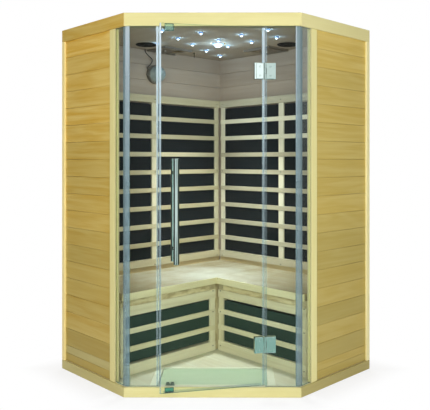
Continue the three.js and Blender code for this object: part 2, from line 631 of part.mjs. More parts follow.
// Strike plates on the door, and the catches that they meet when it is shut
const strikeX = doorFreeEdge + STRIKE_FROM_EDGE;
const strikeEnds = [strikeX - STRIKE_WIDTH / 2, strikeX + STRIKE_WIDTH / 2];
const strikeFaces = [GLASS_BACK + FIT, GLASS_BACK + FIT + STRIKE_THICKNESS];
const lowStrike = block(...strikeEnds, ...strikeFaces, DOOR_BOTTOM, DOOR_BOTTOM + STRIKE_HEIGHT);
const topStrike = block(...strikeEnds, ...strikeFaces, DOOR_TOP - TOP_STRIKE_HEIGHT, DOOR_TOP);
part(door, 'door_bottom_strike', lowStrike, darkSteel);
part(door, 'door_top_strike', topStrike, darkSteel);
const catchFaces = [CATCH_FACE, CATCH_FACE + CATCH_DEPTH];
const lowCatch = block(...strikeEnds, ...catchFaces, GLASS_BOTTOM, GLASS_BOTTOM + CATCH_HEIGHT);
const topCatch = block(...strikeEnds, ...catchFaces, GLASS_TOP - CATCH_HEIGHT, GLASS_TOP);
part(hingeFrame, 'bottom_catch', lowCatch, darkSteel);
part(hingeFrame, 'top_catch', topCatch, darkSteel);

// Bench seats: the left one fills the back corner and the right one butts against it
for (const hand of HANDS) {
  const wall = backWalls[hand];
  const seatStart = hand === LEFT ? WALL_THICKNESS + FIT : BENCH_FRONT + FIT;
  const seatEnds = span(hand, BACK_LENGTH, seatStart, SIDE_END);
  const seat = block(...seatEnds, WALL_THICKNESS + FIT, BENCH_FRONT, BENCH_BOTTOM, BENCH_TOP);
  part(wall, `${hand}_bench_seat`, seat, benchTimber);
}

// Cleat under the back of the seats: one L-shaped rail on both back walls
const cleatFaces = [WALL_THICKNESS + FIT, WALL_THICKNESS + FIT + CLEAT_WIDTH];
const cleatHeights = [BENCH_BOTTOM - FIT - CLEAT_HEIGHT, BENCH_BOTTOM - FIT];
const cleatEnd = SIDE_END - CLEAT_END;
const leftRail = block(cleatFaces[0], cleatEnd, ...cleatFaces, ...cleatHeights);
const rightRail = block(...cleatFaces, cleatFaces[0], cleatEnd, ...cleatHeights);
part(backWalls.left, 'bench_cleat', join([leftRail, rightRail]), slatTimber);

// Slatted grille: stiles, a top board and a low board of full depth, joined by slats at the front.
// Fields are the open widths along the wall, and strips are the open heights between slats.
function grille(ends, stileEnds, z0, z1, fields, strips, front) {
  const slatBack = front - SLAT_THICKNESS;
  const back = slatBack - FRAME_DEPTH;
  const open = [strips[0][0], strips[strips.length - 1][1]];
  const pieces = [block(...ends, back, front, z0, open[0]), block(...ends, back, front, open[1], z1)];
  const stileEdges = [stileEnds[0], ...fields.flat().sort((a, b) => a - b), stileEnds[1]];
  for (let i = 0; i < stileEdges.length; i += 2) {
    pieces.push(block(stileEdges[i], stileEdges[i + 1], back, front, z0, z1));
  }
  for (let i = 1; i < strips.length; i += 1) {
    pieces.push(block(...ends, slatBack, front, strips[i - 1][1], strips[i][0]));
  }
  return { geometry: join(pieces), bays: fields.map((field) => [field, open]), slatBack };
}

// Open strips from the top down, as many as leave room for the low board.
function openStrips(top, lowest, height, gap) {
  const strips = [];
  const count = Math.floor((top - lowest + gap) / (height + gap));
  for (let i = count - 1; i >= 0; i -= 1) {
    const high = top - i * (height + gap);
    strips.push([high - height, high]);
  }
  return strips;
}

// Heater right behind the slats
function heater([field, open], slatBack) {
  const ends = [field[0] + HEATER_PLAY, field[1] - HEATER_PLAY];
  const face = slatBack - FIT;
  return block(...ends, face - HEATER_THICKNESS, face, open[0] + HEATER_PLAY, open[1] - HEATER_PLAY);
}

const grilleLowest = BENCH_TOP + GRILLE_LOW_BOARD;
const kickLowest = BASE_HEIGHT + KICK_LOW_BOARD;
const wallStrips = openStrips(STRIP_TOP, grilleLowest, STRIP_HEIGHT, SLAT_HEIGHT);
const kickStrips = openStrips(KICK_STRIP_TOP, kickLowest, KICK_STRIP_HEIGHT, KICK_SLAT_HEIGHT);
for (const hand of HANDS) {
  const wall = backWalls[hand];
  const onWall = (from, to) => span(hand, BACK_LENGTH, from, to);
  const start = GRILLE_FRONT + FIT;
  const fieldStart = start + STILE_WIDTH;
  const midStile = fieldStart + INNER_FIELD_WIDTH;
  const fieldEnd = SIDE_END - STILE_WIDTH;
  const fields = [onWall(fieldStart, midStile), onWall(midStile + STILE_WIDTH, fieldEnd)];
  const heights = [BENCH_TOP + FIT, STRIP_TOP + GRILLE_TOP_BOARD];
  const slatEnds = onWall(start, SIDE_END);
  const stileEnds = onWall(start + CORNER_GAP, SIDE_END);
  const backGrille = grille(slatEnds, stileEnds, ...heights, fields, wallStrips, GRILLE_FRONT);
  part(wall, `${hand}_back_grille`, backGrille.geometry, slatTimber);
  part(wall, `${hand}_corner_heater`, heater(backGrille.bays[0], backGrille.slatBack), heaterBlack);
  part(wall, `${hand}_end_heater`, heater(backGrille.bays[1], backGrille.slatBack), heaterBlack);

  const kickStart = KICK_FRONT + KICK_GAP;
  const kickEnds = onWall(kickStart, SIDE_END);
  const kickField = onWall(kickStart + STILE_WIDTH, fieldEnd);
  const kickHeights = [WALL_BOTTOM, BENCH_BOTTOM - FIT];
  const kick = grille(kickEnds, kickEnds, ...kickHeights, [kickField], kickStrips, KICK_FRONT);
  part(wall, `${hand}_kick_grille`, kick.geometry, slatTimber);
  part(wall, `${hand}_kick_heater`, heater(kick.bays[0], kick.slatBack), heaterBlack);
}

// Star lights: arms from a hub over the ceiling, with a light at the end of each
const [lampX, lampBehind] = LAMP_PLACE;
const lampY = FRONT_Y + lampBehind;
function starArms(play, top) {
  const bottom = CEILING_TOP - STAR_ARM_THICKNESS - play;
  const pieces = [cylinder(LAMP_RADIUS + play, bottom, top, lampX, lampY)];
  for (const [x, behind] of STAR_PLACES) {
    const dx = x - lampX;
    const dy = FRONT_Y + behind - lampY;
    const length = Math.hypot(dx, dy) + STAR_ARM_WIDTH / 2 + play;
    const halfWidth = STAR_ARM_WIDTH / 2 + play;
    const arm = block(0, length, -halfWidth, halfWidth, bottom, top);
    pieces.push(arm.rotateZ(Math.atan2(dy, dx)).translate(lampX, lampY, 0));
  }
  return pieces;
}
const starStubs = STAR_PLACES.map(([x, behind]) => [x, FRONT_Y + behind]);
const stubTop = CEILING_TOP - STAR_ARM_THICKNESS / 2;
const crystalProfile = [
  [0, -STAR_DROP], [STAR_TIP_FLAT, -STAR_DROP], [STAR_TIP_RADIUS, -STAR_TIP_RIM - FIT],
  [STAR_TIP_RADIUS, -FIT], [0, -FIT],
].map(([x, z]) => new THREE.Vector2(x, z));
const lights = starArms(0, CEILING_TOP);
for (const [x, y] of starStubs) {
  const crystal = new THREE.LatheGeometry(crystalProfile, CRYSTAL_SIDES).rotateX(Math.PI / 2);
  lights.push(crystal.translate(x, y, CEILING_Z));
  lights.push(cylinder(STAR_RADIUS, CEILING_Z - STAR_TIP_RIM, stubTop, x, y, HOLE_SIDES));
}
lights.push(cylinder(LAMP_RADIUS, CEILING_Z - LAMP_DROP, stubTop, lampX, lampY));
part(cabin, 'star_lights', join(lights), lightWhite);

// Ceiling panel with its holes, and the channels that hold the star-light arms
const ventCentres = HANDS.map((hand) => ceilingPoint(hand, VENT_FROM_CORNER, VENT_FROM_WALL));
const speakerCentres = HANDS.map((hand) => ceilingPoint(hand, SPEAKER_FROM_CORNER, SPEAKER_FROM_WALL));
const ceilingHoles = [
  ...starStubs.map(([x, y]) => [x, y, STAR_RADIUS + STAR_PLAY]),
  ...ventCentres.map(([x, y]) => [x, y, VENT_HOLE_RADIUS]),
  ...speakerCentres.map(([x, y]) => [x, y, SPEAKER_BASKET + STAR_PLAY]),
];
const lampHole = cylinder(LAMP_RADIUS + STAR_PLAY, CEILING_Z - CUT_PAST, CEILING_TOP, lampX, lampY);
const ceiling = prism(insideTrim, CEILING_Z, CEILING_TOP, ceilingHoles);
const channelCuts = starArms(STAR_PLAY, CEILING_TOP + CUT_PAST);
part(cabin, 'ceiling_panel', join([ceiling], [lampHole, ...channelCuts]), insideBoards);
const roofHoles = ventCentres.map(([x, y]) => [x, y, VENT_HOLE_RADIUS]);
const roofBottom = CEILING_TOP + FIT;
const roof = prism(insideTrim, roofBottom, roofBottom + ROOF_COVER_THICKNESS, roofHoles);
part(cabin, 'roof_cover', roof, plywood);

// Ceiling speakers
const speakerProfile = [
  [0, -SPEAKER_FLANGE], [SPEAKER_RADIUS - SPEAKER_FLANGE, -SPEAKER_FLANGE],
  [SPEAKER_RADIUS, -SPEAKER_FLANGE / 2], [SPEAKER_RADIUS, -FIT], [SPEAKER_BASKET, -FIT],
  [SPEAKER_BASKET, SPEAKER_BASKET_HEIGHT], [0, SPEAKER_BASKET_HEIGHT],
].map(([x, z]) => new THREE.Vector2(x, z));
HANDS.forEach((hand, i) => {
  const [x, y] = speakerCentres[i];
  const geometry = new THREE.LatheGeometry(speakerProfile, ROUND_SIDES).rotateX(Math.PI / 2);
  part(cabin, `${hand}_speaker`, geometry.translate(x, y, CEILING_Z), speakerBlack);
});

// Ceiling vents: a frame round the hole, and a shutter that slides along the wall between its lips
const lipBottom = -VENT_PLATE - SHUTTER_THICKNESS - 2 * SHUTTER_PLAY;
const frameBottom = lipBottom - VENT_PLATE;
const frameHalf = VENT_WIDTH / 2;
const grooveHalf = frameHalf - VENT_LIP;
const mouthHalf = grooveHalf - VENT_LIP;
const ventSection = outlineShape([
  [-frameHalf, -FIT], [-frameHalf, frameBottom], [-mouthHalf, frameBottom], [-mouthHalf, lipBottom],
  [-grooveHalf, lipBottom], [-grooveHalf, -VENT_PLATE], [grooveHalf, -VENT_PLATE], [grooveHalf, lipBottom],
  [mouthHalf, lipBottom], [mouthHalf, frameBottom], [frameHalf, frameBottom], [frameHalf, -FIT],
]);
HANDS.forEach((hand, i) => {
  const frame = new THREE.Group();
  frame.position.set(...ventCentres[i], CEILING_Z);
  frame.rotation.z = THREE.MathUtils.degToRad(hand === LEFT ? 225 : 315);
  cabin.add(frame);
  const body = drawAlong(ventSection, [-VENT_BACK, VENT_FRONT]);
  const hole = cylinder(VENT_HOLE_RADIUS, -VENT_PLATE - CUT_PAST, CUT_PAST);
  part(frame, `${hand}_vent_frame`, join([body], [hole]), slatTimber);

  const open = SHUTTER_OPEN[hand];
  const shutterEnds = [open - SHUTTER_LENGTH / 2, open + SHUTTER_LENGTH / 2];
  const shutterHalf = grooveHalf - SHUTTER_PLAY;
  const shutterTop = -VENT_PLATE - SHUTTER_PLAY;
  const shutterBottom = shutterTop - SHUTTER_THICKNESS;
  const board = block(...shutterEnds, -shutterHalf, shutterHalf, shutterBottom, shutterTop);
  const knobEnds = [shutterBottom - SHUTTER_KNOB_HEIGHT, shutterTop - SHUTTER_THICKNESS / 2];
  const knob = cylinder(SHUTTER_KNOB_RADIUS, ...knobEnds, open);
  part(frame, `${hand}_vent_shutter`, join([board, knob]), benchTimber);
});

// Temperature probe that hangs under the ceiling
const probeProfile = [
  [0, -PROBE_LENGTH], [PROBE_RADIUS, PROBE_TIP - PROBE_LENGTH], [PROBE_RADIUS, -PROBE_FLANGE_THICKNESS],
  [PROBE_FLANGE, -PROBE_FLANGE_THICKNESS], [PROBE_FLANGE, -FIT], [0, -FIT],
].map(([x, z]) => new THREE.Vector2(x, z));
const probe = new THREE.LatheGeometry(probeProfile, HOLE_SIDES).rotateX(Math.PI / 2);
const probeCentre = ceilingPoint(LEFT, PROBE_FROM_CORNER, PROBE_FROM_WALL);
part(cabin, 'temperature_probe', probe.translate(...probeCentre, CEILING_Z), cableBlack);

// Wall lamp: a round housing on the left back wall, with a gland for its lead, and a domed lens
const lampFace = WALL_THICKNESS + FIT;
const lampCentre = [WALL_LAMP_FROM_CORNER, lampFace, CEILING_Z - WALL_LAMP_DROP];
function radialStub(degrees) {
  const angle = THREE.MathUtils.degToRad(degrees);
  const length = GLAND_LENGTH + GLAND_RADIUS;
  const stub = new THREE.CylinderGeometry(GLAND_RADIUS, GLAND_RADIUS, length, HOLE_SIDES);
  const middle = WALL_LAMP_RADIUS - GLAND_RADIUS + length / 2;
  stub.rotateZ(-Math.PI / 2).translate(middle, WALL_LAMP_RIM / 2, 0);
  return stub.rotateY(-angle).translate(...lampCentre);
}
const rimBevel = WALL_LAMP_RIM / 5;
const housingProfile = [
  [0, 0], [WALL_LAMP_RADIUS, 0], [WALL_LAMP_RADIUS, WALL_LAMP_RIM - rimBevel],
  [WALL_LAMP_RADIUS - rimBevel, WALL_LAMP_RIM], [0, WALL_LAMP_RIM],
].map(([x, y]) => new THREE.Vector2(x, y));
const housing = new THREE.LatheGeometry(housingProfile, ROUND_SIDES).translate(...lampCentre);
const housingBody = join([housing, radialStub(GLAND_ANGLE_DEG), radialStub(PLUG_ANGLE_DEG)]);
part(backWalls.left, 'wall_lamp_housing', housingBody, lampGrey);

const domeRadius = WALL_LAMP_RADIUS - rimBevel;
const domeProfile = [new THREE.Vector2(0, WALL_LAMP_RIM + FIT)];
for (let i = 0; i <= DOME_STEPS; i += 1) {
  const angle = (Math.PI / 2) * (i / DOME_STEPS);
  const height = WALL_LAMP_RIM + FIT + WALL_LAMP_DOME * Math.sin(angle);
  domeProfile.push(new THREE.Vector2(i === DOME_STEPS ? 0 : domeRadius * Math.cos(angle), height));
}
const lens = new THREE.LatheGeometry(domeProfile, ROUND_SIDES).translate(...lampCentre);
part(backWalls.left, 'wall_lamp_lens', lens, lensWhite);

// Lead of the wall lamp, from the ceiling down to the gland in a loose bow
const glandAngle = THREE.MathUtils.degToRad(GLAND_ANGLE_DEG);
const glandDirection = new THREE.Vector3(Math.cos(glandAngle), 0, Math.sin(glandAngle));
const glandTip = new THREE.Vector3(...lampCentre)
  .add(new THREE.Vector3(0, WALL_LAMP_RIM / 2, 0))
  .addScaledVector(glandDirection, WALL_LAMP_RADIUS + GLAND_LENGTH + FIT);
const leadTop = [glandTip.x + LEAD_PAST_GLAND, lampFace + LEAD_FROM_WALL, CEILING_Z - FIT];
const leadDrop = leadTop[2] - glandTip.z;
const leadCurve = new THREE.CatmullRomCurve3([
  ...LEAD_ROUTE.map(([along, out, share]) => (
    new THREE.Vector3(leadTop[0] + along, leadTop[1] + out, leadTop[2] - share * leadDrop))),
  ...LEAD_END.map((radii) => glandTip.clone().addScaledVector(glandDirection, radii * LEAD_RADIUS)),
]);
const leadSection = new THREE.Shape(roundHole(0, 0, LEAD_RADIUS, LEAD_SIDES).getPoints());
const leadSettings = { steps: LEAD_STEPS, extrudePath: leadCurve, bevelEnabled: false };
const lead = new THREE.ExtrudeGeometry(leadSection, leadSettings);
part(backWalls.left, 'wall_lamp_lead', lead, cableBlack);

// Control panel on the inside of the right side
const panelMiddle = POST_START / 2;
const panelHalf = PANEL_WIDTH / 2;
const panelEnds = span(RIGHT, SIDE_LENGTH, panelMiddle - panelHalf, panelMiddle + panelHalf);
const panelFaces = [SIDE_INNER + FIT, SIDE_INNER + FIT + PANEL_THICKNESS];
const panelHeights = [PANEL_MIDDLE - PANEL_HEIGHT / 2, PANEL_MIDDLE + PANEL_HEIGHT / 2];
part(sideWalls.right, 'control_panel', block(...panelEnds, ...panelFaces, ...panelHeights), panelBlack);

// Power box under the right bench, with the mains gland that goes out through the wall
const powerX = BACK_LENGTH - POWER_FROM_CORNER;
const powerEnds = [powerX - POWER_WIDTH / 2, powerX + POWER_WIDTH / 2];
const powerBack = WALL_THICKNESS + FIT;
const powerHeights = [MAINS_Z - POWER_HEIGHT / 2, MAINS_Z + POWER_HEIGHT / 2];
const powerBox = block(...powerEnds, powerBack, powerBack + POWER_DEPTH, ...powerHeights);
const glandEnds = [-MAINS_GLAND_NOSE, powerBack + POWER_DEPTH / 2];
const mainsGland = crossRod(MAINS_GLAND_RADIUS, ...glandEnds, powerX, MAINS_Z);
part(backWalls.right, 'power_box', join([powerBox, mainsGland]), boxGrey);

export default cabin;
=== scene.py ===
# %% [markdown]
# # A corner infrared sauna cabin
# The cabin is a five-sided timber box with a frameless glass front. The packed solids give every
# size and place, so the first step loads them and keeps their box. Everything after this dresses
# those solids: boards with their own grain, slats, glass, chrome and lights.

# %% Load the frame
import json
import math
import random

import bmesh
import bpy
from mathutils import Matrix, Vector
from mathutils.geometry import convex_hull_2d


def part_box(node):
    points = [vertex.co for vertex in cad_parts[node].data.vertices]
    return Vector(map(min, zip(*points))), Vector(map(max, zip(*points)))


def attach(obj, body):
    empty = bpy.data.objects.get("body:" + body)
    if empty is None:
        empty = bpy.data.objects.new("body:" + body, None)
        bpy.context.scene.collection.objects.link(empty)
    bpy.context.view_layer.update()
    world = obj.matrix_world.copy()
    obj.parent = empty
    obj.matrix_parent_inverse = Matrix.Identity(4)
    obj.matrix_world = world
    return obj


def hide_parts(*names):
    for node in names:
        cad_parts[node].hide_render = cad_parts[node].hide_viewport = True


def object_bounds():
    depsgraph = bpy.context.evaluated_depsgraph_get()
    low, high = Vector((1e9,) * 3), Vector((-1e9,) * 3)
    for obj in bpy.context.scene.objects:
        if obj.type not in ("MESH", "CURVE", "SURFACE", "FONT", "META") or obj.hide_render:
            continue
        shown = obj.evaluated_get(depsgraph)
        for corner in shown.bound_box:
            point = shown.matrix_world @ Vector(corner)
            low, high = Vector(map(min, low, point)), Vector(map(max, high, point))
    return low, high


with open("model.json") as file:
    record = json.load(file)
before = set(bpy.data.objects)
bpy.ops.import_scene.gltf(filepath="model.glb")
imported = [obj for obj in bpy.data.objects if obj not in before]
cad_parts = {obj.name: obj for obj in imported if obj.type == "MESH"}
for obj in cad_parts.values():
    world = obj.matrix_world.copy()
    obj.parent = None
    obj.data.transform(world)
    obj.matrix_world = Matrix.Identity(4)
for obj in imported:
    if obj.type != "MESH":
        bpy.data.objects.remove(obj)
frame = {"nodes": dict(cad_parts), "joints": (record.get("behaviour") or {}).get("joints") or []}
cad_low, cad_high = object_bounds()
luck = random.Random(7)
print("CAD box", [round(x, 3) for x in cad_high - cad_low])

# %% [markdown]
# ## Places on the cabin
# Each face of the cabin is turned by a multiple of 45 degrees. A "spot" is a matrix with x along a
# face, y into the cabin and z up, so a board is always a plain box in its own spot. The sizes of a
# board are then read from the solid that it dresses, in that same spot.

# %% Spots
HANDS = ("left", "right")
front_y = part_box("base_front_board")[0].y
back_y = cad_high.y
rear_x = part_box("base_right_board")[1].x
rear_y = back_y - rear_x
door_joint = next(joint for joint in frame["joints"] if joint["name"] == "door_swing")
ajar_angle = -door_joint["range_deg"][0]


def spot_at(x, y, degrees):
    return Matrix.Translation((x, y, 0)) @ Matrix.Rotation(math.radians(degrees), 4, "Z")


world_spot = Matrix.Identity(4)
back_spot = {"left": spot_at(0, back_y, 225), "right": spot_at(0, back_y, 135)}
side_spot = {"left": spot_at(-rear_x, rear_y, 315), "right": spot_at(rear_x, rear_y, 45)}
front_spot = spot_at(0, front_y, 0)
hinge_spot = spot_at(door_joint["pos_m"][0], door_joint["pos_m"][1], 0)
door_spot = spot_at(door_joint["pos_m"][0], door_joint["pos_m"][1], ajar_angle)
print("front", round(front_y, 3), "back", round(back_y, 3), "door ajar by", ajar_angle, "degrees")

# %% [markdown]
# ## Measures of a solid
# Three measures are enough. The extent is the box of a solid in a spot. The levels are the heights,
# widths or depths at which it has a face, such as the edges of its slats. The groove heights say where
# the boards of a wall meet.

# %% Measures
LEAST_CORNERS = 4                # corners that make a level a face, and not a rounding
SAME_DEPTH = 0.0002
EDGE_MARGIN = 0.005


def points_in(node, spot):
    turn = spot.inverted()
    return [turn @ vert.co for vert in frame["nodes"][node].data.vertices]


def extent(node, spot):
    points = points_in(node, spot)
    low = Vector([min(point[axis] for point in points) for axis in range(3)])
    high = Vector([max(point[axis] for point in points) for axis in range(3)])
    return low, high


def levels(node, spot, axis):
    corners = {}
    for point in points_in(node, spot):
        corners.setdefault(round(point[axis], 4), set()).add(tuple(round(x, 4) for x in point))
    return sorted(level for level, found in corners.items() if len(found) >= LEAST_CORNERS)


def groove_heights(node, spot, depth, foot, top):
    points = points_in(node, spot)
    heights = {round(point.z, 4) for point in points if abs(point.y - depth) < SAME_DEPTH}
    return sorted(height for height in heights if foot + EDGE_MARGIN < height < top - EDGE_MARGIN)


print("slats and boards of a back grille:", len(levels("left_back_grille", back_spot["left"], 2)) // 2)

# %% [markdown]
# ## Camera
# The photograph was taken level, a little right of the middle, and then framed below the horizon and
# to the left. A level camera with a small shift keeps the upright edges upright, where a tilted camera
# would make them lean together.

# %% Camera
IMAGE_WIDTH = 430
IMAGE_HEIGHT = 410
SENSOR_WIDTH = 36.0
FOCAL_PIXELS = 615.6
MIDDLE_PIXEL = 235.75
HORIZON_PIXEL = 159.84
CAMERA_X = 0.1278
CAMERA_HEIGHT = 1.173
CAMERA_TO_FRONT = 3.0349
CAMERA_YAW = 0.0043

camera_data = bpy.data.cameras.new("camera")
camera_data.sensor_width = SENSOR_WIDTH
camera_data.lens = FOCAL_PIXELS / IMAGE_WIDTH * SENSOR_WIDTH
camera_data.shift_x = (IMAGE_WIDTH / 2 - MIDDLE_PIXEL) / IMAGE_WIDTH
camera_data.shift_y = (HORIZON_PIXEL - IMAGE_HEIGHT / 2) / IMAGE_WIDTH
camera = bpy.data.objects.new("camera", camera_data)
camera.location = (CAMERA_X, front_y - CAMERA_TO_FRONT, CAMERA_HEIGHT)
camera.rotation_euler = (math.pi / 2, 0, CAMERA_YAW)
scene = bpy.context.scene
scene.collection.objects.link(camera)
scene.camera = camera
scene.view_settings.view_transform = "Standard"
print("lens", round(camera_data.lens, 1), "mm, shift", round(camera_data.shift_x, 3),
      round(camera_data.shift_y, 3))

# %% [markdown]
# ## Shader sums
# A finish is a small tree of nodes. Written node by node, a simple sum takes ten lines, so this class
# wraps one output of the tree and turns Python's own operators into Math nodes. Every other node
# comes from its `node` method: the kind, the settings, then the values or links of its inputs.


# %% Shader sums
class Paint:
    def __init__(self, tree, socket=None):
        self.tree = tree
        self.socket = socket

    def node(self, kind, settings=None, inputs=None, output=0):
        made = self.tree.nodes.new(kind)
        for name, value in (settings or {}).items():
            setattr(made, name, value)
        for name, value in (inputs or {}).items():
            if isinstance(value, Paint):
                self.tree.links.new(value.socket, made.inputs[name])
            else:
                made.inputs[name].default_value = value
        return Paint(self.tree, made.outputs[output])

    def sum(self, operation, first, second=0.0):
        return self.node("ShaderNodeMath", {"operation": operation}, {0: first, 1: second})

    def __add__(self, other):
        return self.sum("ADD", self, other)

    def __sub__(self, other):
        return self.sum("SUBTRACT", self, other)

    def __rsub__(self, other):
        return self.sum("SUBTRACT", other, self)

    def __mul__(self, other):
        return self.sum("MULTIPLY", self, other)

    def __pow__(self, other):
        return self.sum("POWER", self, other)

    def __gt__(self, other):
        return self.sum("GREATER_THAN", self, other)

    def __lt__(self, other):
        return self.sum("LESS_THAN", self, other)

    __radd__ = __add__
    __rmul__ = __mul__

    def clamped(self):
        return self.node("ShaderNodeClamp", None, {"Value": self})

    def here(self):
        """The place on the object, which stays put when the camera moves."""
        return self.node("ShaderNodeTexCoord", None, None, output=3)

    def axis(self, index):
        return self.node("ShaderNodeSeparateXYZ", None, {0: self}, output=index)

    def stretched(self, x, y, z):
        return self.node("ShaderNodeVectorMath", {"operation": "MULTIPLY"}, {0: self, 1: (x, y, z)})

    def noise(self, scale=1.0, detail=2.0, distortion=0.0):
        inputs = {"Vector": self, "Scale": scale, "Detail": detail, "Distortion": distortion}
        return self.node("ShaderNodeTexNoise", None, inputs)

    def blend(self, first, second):
        inputs = {0: self, 6: first, 7: second}
        return self.node("ShaderNodeMix", {"data_type": "RGBA"}, inputs, output=2)


print("sums:", ", ".join(name for name in vars(Paint) if not name.startswith("_")))

# %% [markdown]
# ## New finishes
# Every finish starts from the standard shader. Numbers and colours that are the same all over are set
# on its own sockets, and only what changes over the surface is fed in through links.

# %% New finishes


def linear(red, green, blue):
    """A colour as the eye reads it, from 0 to 255, as the linear colour that a shader takes."""
    shares = [value / 255 for value in (red, green, blue)]
    return tuple(s / 12.92 if s <= 0.04045 else ((s + 0.055) / 1.055) ** 2.4 for s in shares) + (1.0,)


def new_finish(name, **sockets):
    material = bpy.data.materials.new(name)
    material.use_nodes = True
    shader = material.node_tree.nodes["Principled BSDF"]
    for socket, value in sockets.items():
        shader.inputs[socket.replace("_", " ")].default_value = value
    return material, Paint(material.node_tree), shader


def plain_finish(name, colour, **sockets):
    return new_finish(name, Base_Color=linear(*colour), **sockets)[0]


def feed(paint, shader, socket):
    paint.tree.links.new(paint.socket, shader.inputs[socket])


def show(paint):
    """Makes a mixed shader the one that the surface shows."""
    feed(paint, paint.tree.nodes["Material Output"], "Surface")


def bump(height, shader, strength, distance):
    inputs = {"Height": height, "Strength": strength, "Distance": distance}
    feed(height.node("ShaderNodeBump", None, inputs), shader, "Normal")


print("middle grey is", round(linear(128, 128, 128)[0], 3))

# %% [markdown]
# ## Timber
# The boards are pale softwood. Flat-sawn wood shows long flames where the saw crosses the growth
# rings, fine fibres along them, and each board differs a little from its neighbour. A stretched noise
# gives the slow drift of the rings, its contour lines give the flames, and a much finer stretched
# noise gives the fibres. The pattern reads a `grain` attribute that every board carries, with x along
# the fibres, so that it turns with the board and starts at another place on each one. A second
# attribute, `tone`, makes a board darker, or takes it towards a second colour: a darker one towards the
# bottom of the outer walls, and painted light on the upper slats and stiles. A patch is a stain, or a
# painted pool of light round one centre.

# %% Timber
RING_STRETCH = (0.9, 9.0, 9.0)
FIBRE_STRETCH = (7.0, 330.0, 330.0)
STREAK_STRETCH = (0.8, 46.0, 46.0)
TONE_STRETCH = (0.4, 2.1, 2.1)
STAIN_STRETCH = (0.3, 1.0, 1.0)
RING_CONTOURS = 34.0
RING_SHARE = 0.55
STREAK_SHARE = 1.5
FIBRE_SHARE = 0.5
TONE_SHARE = 0.2
SHADE_START = 0.38
TONE_COLOUR_SHARE = 0.13                # how far a board's tone takes it to its second colour
TONE_COLOUR_START = 0.12
STAIN_EDGE = 5.0                 # how sharply a stain ends
STAIN_START = 0.3
# The edge and noise of a patch round one centre, which paints a pool of light.
POOL_EDGE = 1.2
POOL_SCALE = 9.0


# A patch round one centre is a painted pool of light, and any other patch is a stain.
def stain_and_light_patch(colour, grain, patch_colour, size, share, centre):
    if centre:
        place = grain.here()
        reach = {"operation": "DISTANCE"}
        away = grain.node("ShaderNodeVectorMath", reach, {0: place, 1: centre}, output=1)
        spread = (place.noise(POOL_SCALE, 4.0) - 0.5) * POOL_EDGE + 1.0 - away * (1 / size)
    else:
        cloud = grain.stretched(*STAIN_STRETCH).noise(1 / size, 4.0)
        spread = (cloud - 0.5) * STAIN_EDGE + STAIN_START
    return (spread.clamped() * share).blend(colour, linear(*patch_colour))


def timber(name, light, dark, figure=0.45, roughness=0.5, own_grain=True, turn=0.0, edge=None,
           patch=None, tone_colour=None):
    material, paint, shader = new_finish(name, Specular_IOR_Level=0.35)
    if own_grain:
        grain = paint.node("ShaderNodeAttribute", {"attribute_name": "grain"}, None, output=1)
        tone = paint.node("ShaderNodeAttribute", {"attribute_name": "tone"}, None, output=2)
    else:
        inputs = {"Vector": paint.here(), "Rotation": (0, 0, turn)}
        grain = paint.node("ShaderNodeMapping", None, inputs)
        tone = grain.stretched(*TONE_STRETCH).noise(2.0, 1.0) - 0.5
    drift = grain.stretched(*RING_STRETCH).noise(1.0, 3.0, 0.4)
    contours = drift * RING_CONTOURS
    rings = contours.sum("SINE", contours) * 0.5 + 0.5
    streaks = grain.stretched(*STREAK_STRETCH).noise(1.0, 3.0)
    fibres = grain.stretched(*FIBRE_STRETCH).noise(1.0, 2.0)
    shade = rings * (RING_SHARE * figure) + (streaks - 0.5) * (STREAK_SHARE * figure)
    shade = shade + (fibres - 0.5) * FIBRE_SHARE
    if not tone_colour:
        shade = shade + tone * TONE_SHARE
    colour = (shade + SHADE_START).clamped().blend(linear(*light), linear(*dark))
    if tone_colour:
        colour = (tone * TONE_COLOUR_SHARE + TONE_COLOUR_START).clamped().blend(colour, linear(*tone_colour))
    if patch:
        colour = stain_and_light_patch(colour, grain, *patch)
    if edge:
        upright = paint.node("ShaderNodeNewGeometry", None, None, output=1).axis(2)
        colour = (upright.sum("ABSOLUTE", upright) < 0.5).blend(colour, linear(*edge))
    feed(colour, shader, "Base Color")
    feed(fibres * 0.2 + (roughness - 0.1), shader, "Roughness")
    bump(fibres * 0.6 + rings * 0.4, shader, 0.25, 0.0005)
    return material


print("one timber takes", len(timber("test_timber", (200,) * 3, (150,) * 3).node_tree.nodes), "nodes")
bpy.data.materials.remove(bpy.data.materials["test_timber"])

# %% [markdown]
# ## Timber finishes
# The cabin has many shades of the same wood. The posts, the side boards of the crown and the base,
# the two side walls and their rear stiles take lit and shaded copies of it, which paint the light and
# shade on each face; the rear stiles carry a painted highlight. The head rail, the post ends and the
# lath under each back rest take darker copies as painted shade, and the boards inside are greyer. The
# low outer boards are darker towards the bottom, and the upper slats and stiles are painted lighter, as
# painted light. Each of these is the same function with other colours.

# %% Timber finishes
# The slats' second colour, which paints light on the upper slats, the low and top boards and the stiles.
PAINTED_SLAT_LIGHT = (236, 229, 200)
SHEET_EDGE = (206, 178, 124)
QUARTER = math.pi / 4

pale_timber = timber("pale_timber", (223, 215, 155), (209, 198, 131), 0.35)
# The two posts take lighter and darker copies of the timber, as painted light on each.
lit_post_face = {"left": timber("post_timber", (231, 223, 161), (217, 205, 136), 0.35),
             "right": timber("right_post_timber", (242, 235, 171), (228, 217, 145), 0.35)}
post_end_shade_timber = timber("post_end_shade_timber", (207, 197, 148), (189, 177, 127), 0.35)
crown_right_timber = timber("crown_right_timber", (238, 230, 168), (224, 212, 142), 0.35)
base_right_timber = timber("base_right_timber", (190, 178, 116), (170, 156, 94), 0.35)
straw_timber = timber("straw_timber", (208, 198, 136), (184, 170, 108), 0.4)
# The head rail's dark copy of the timber paints the shade under the crown.
head_shade_timber = timber("head_shade_timber", (150, 146, 116), (124, 120, 94), 0.3, 0.6)
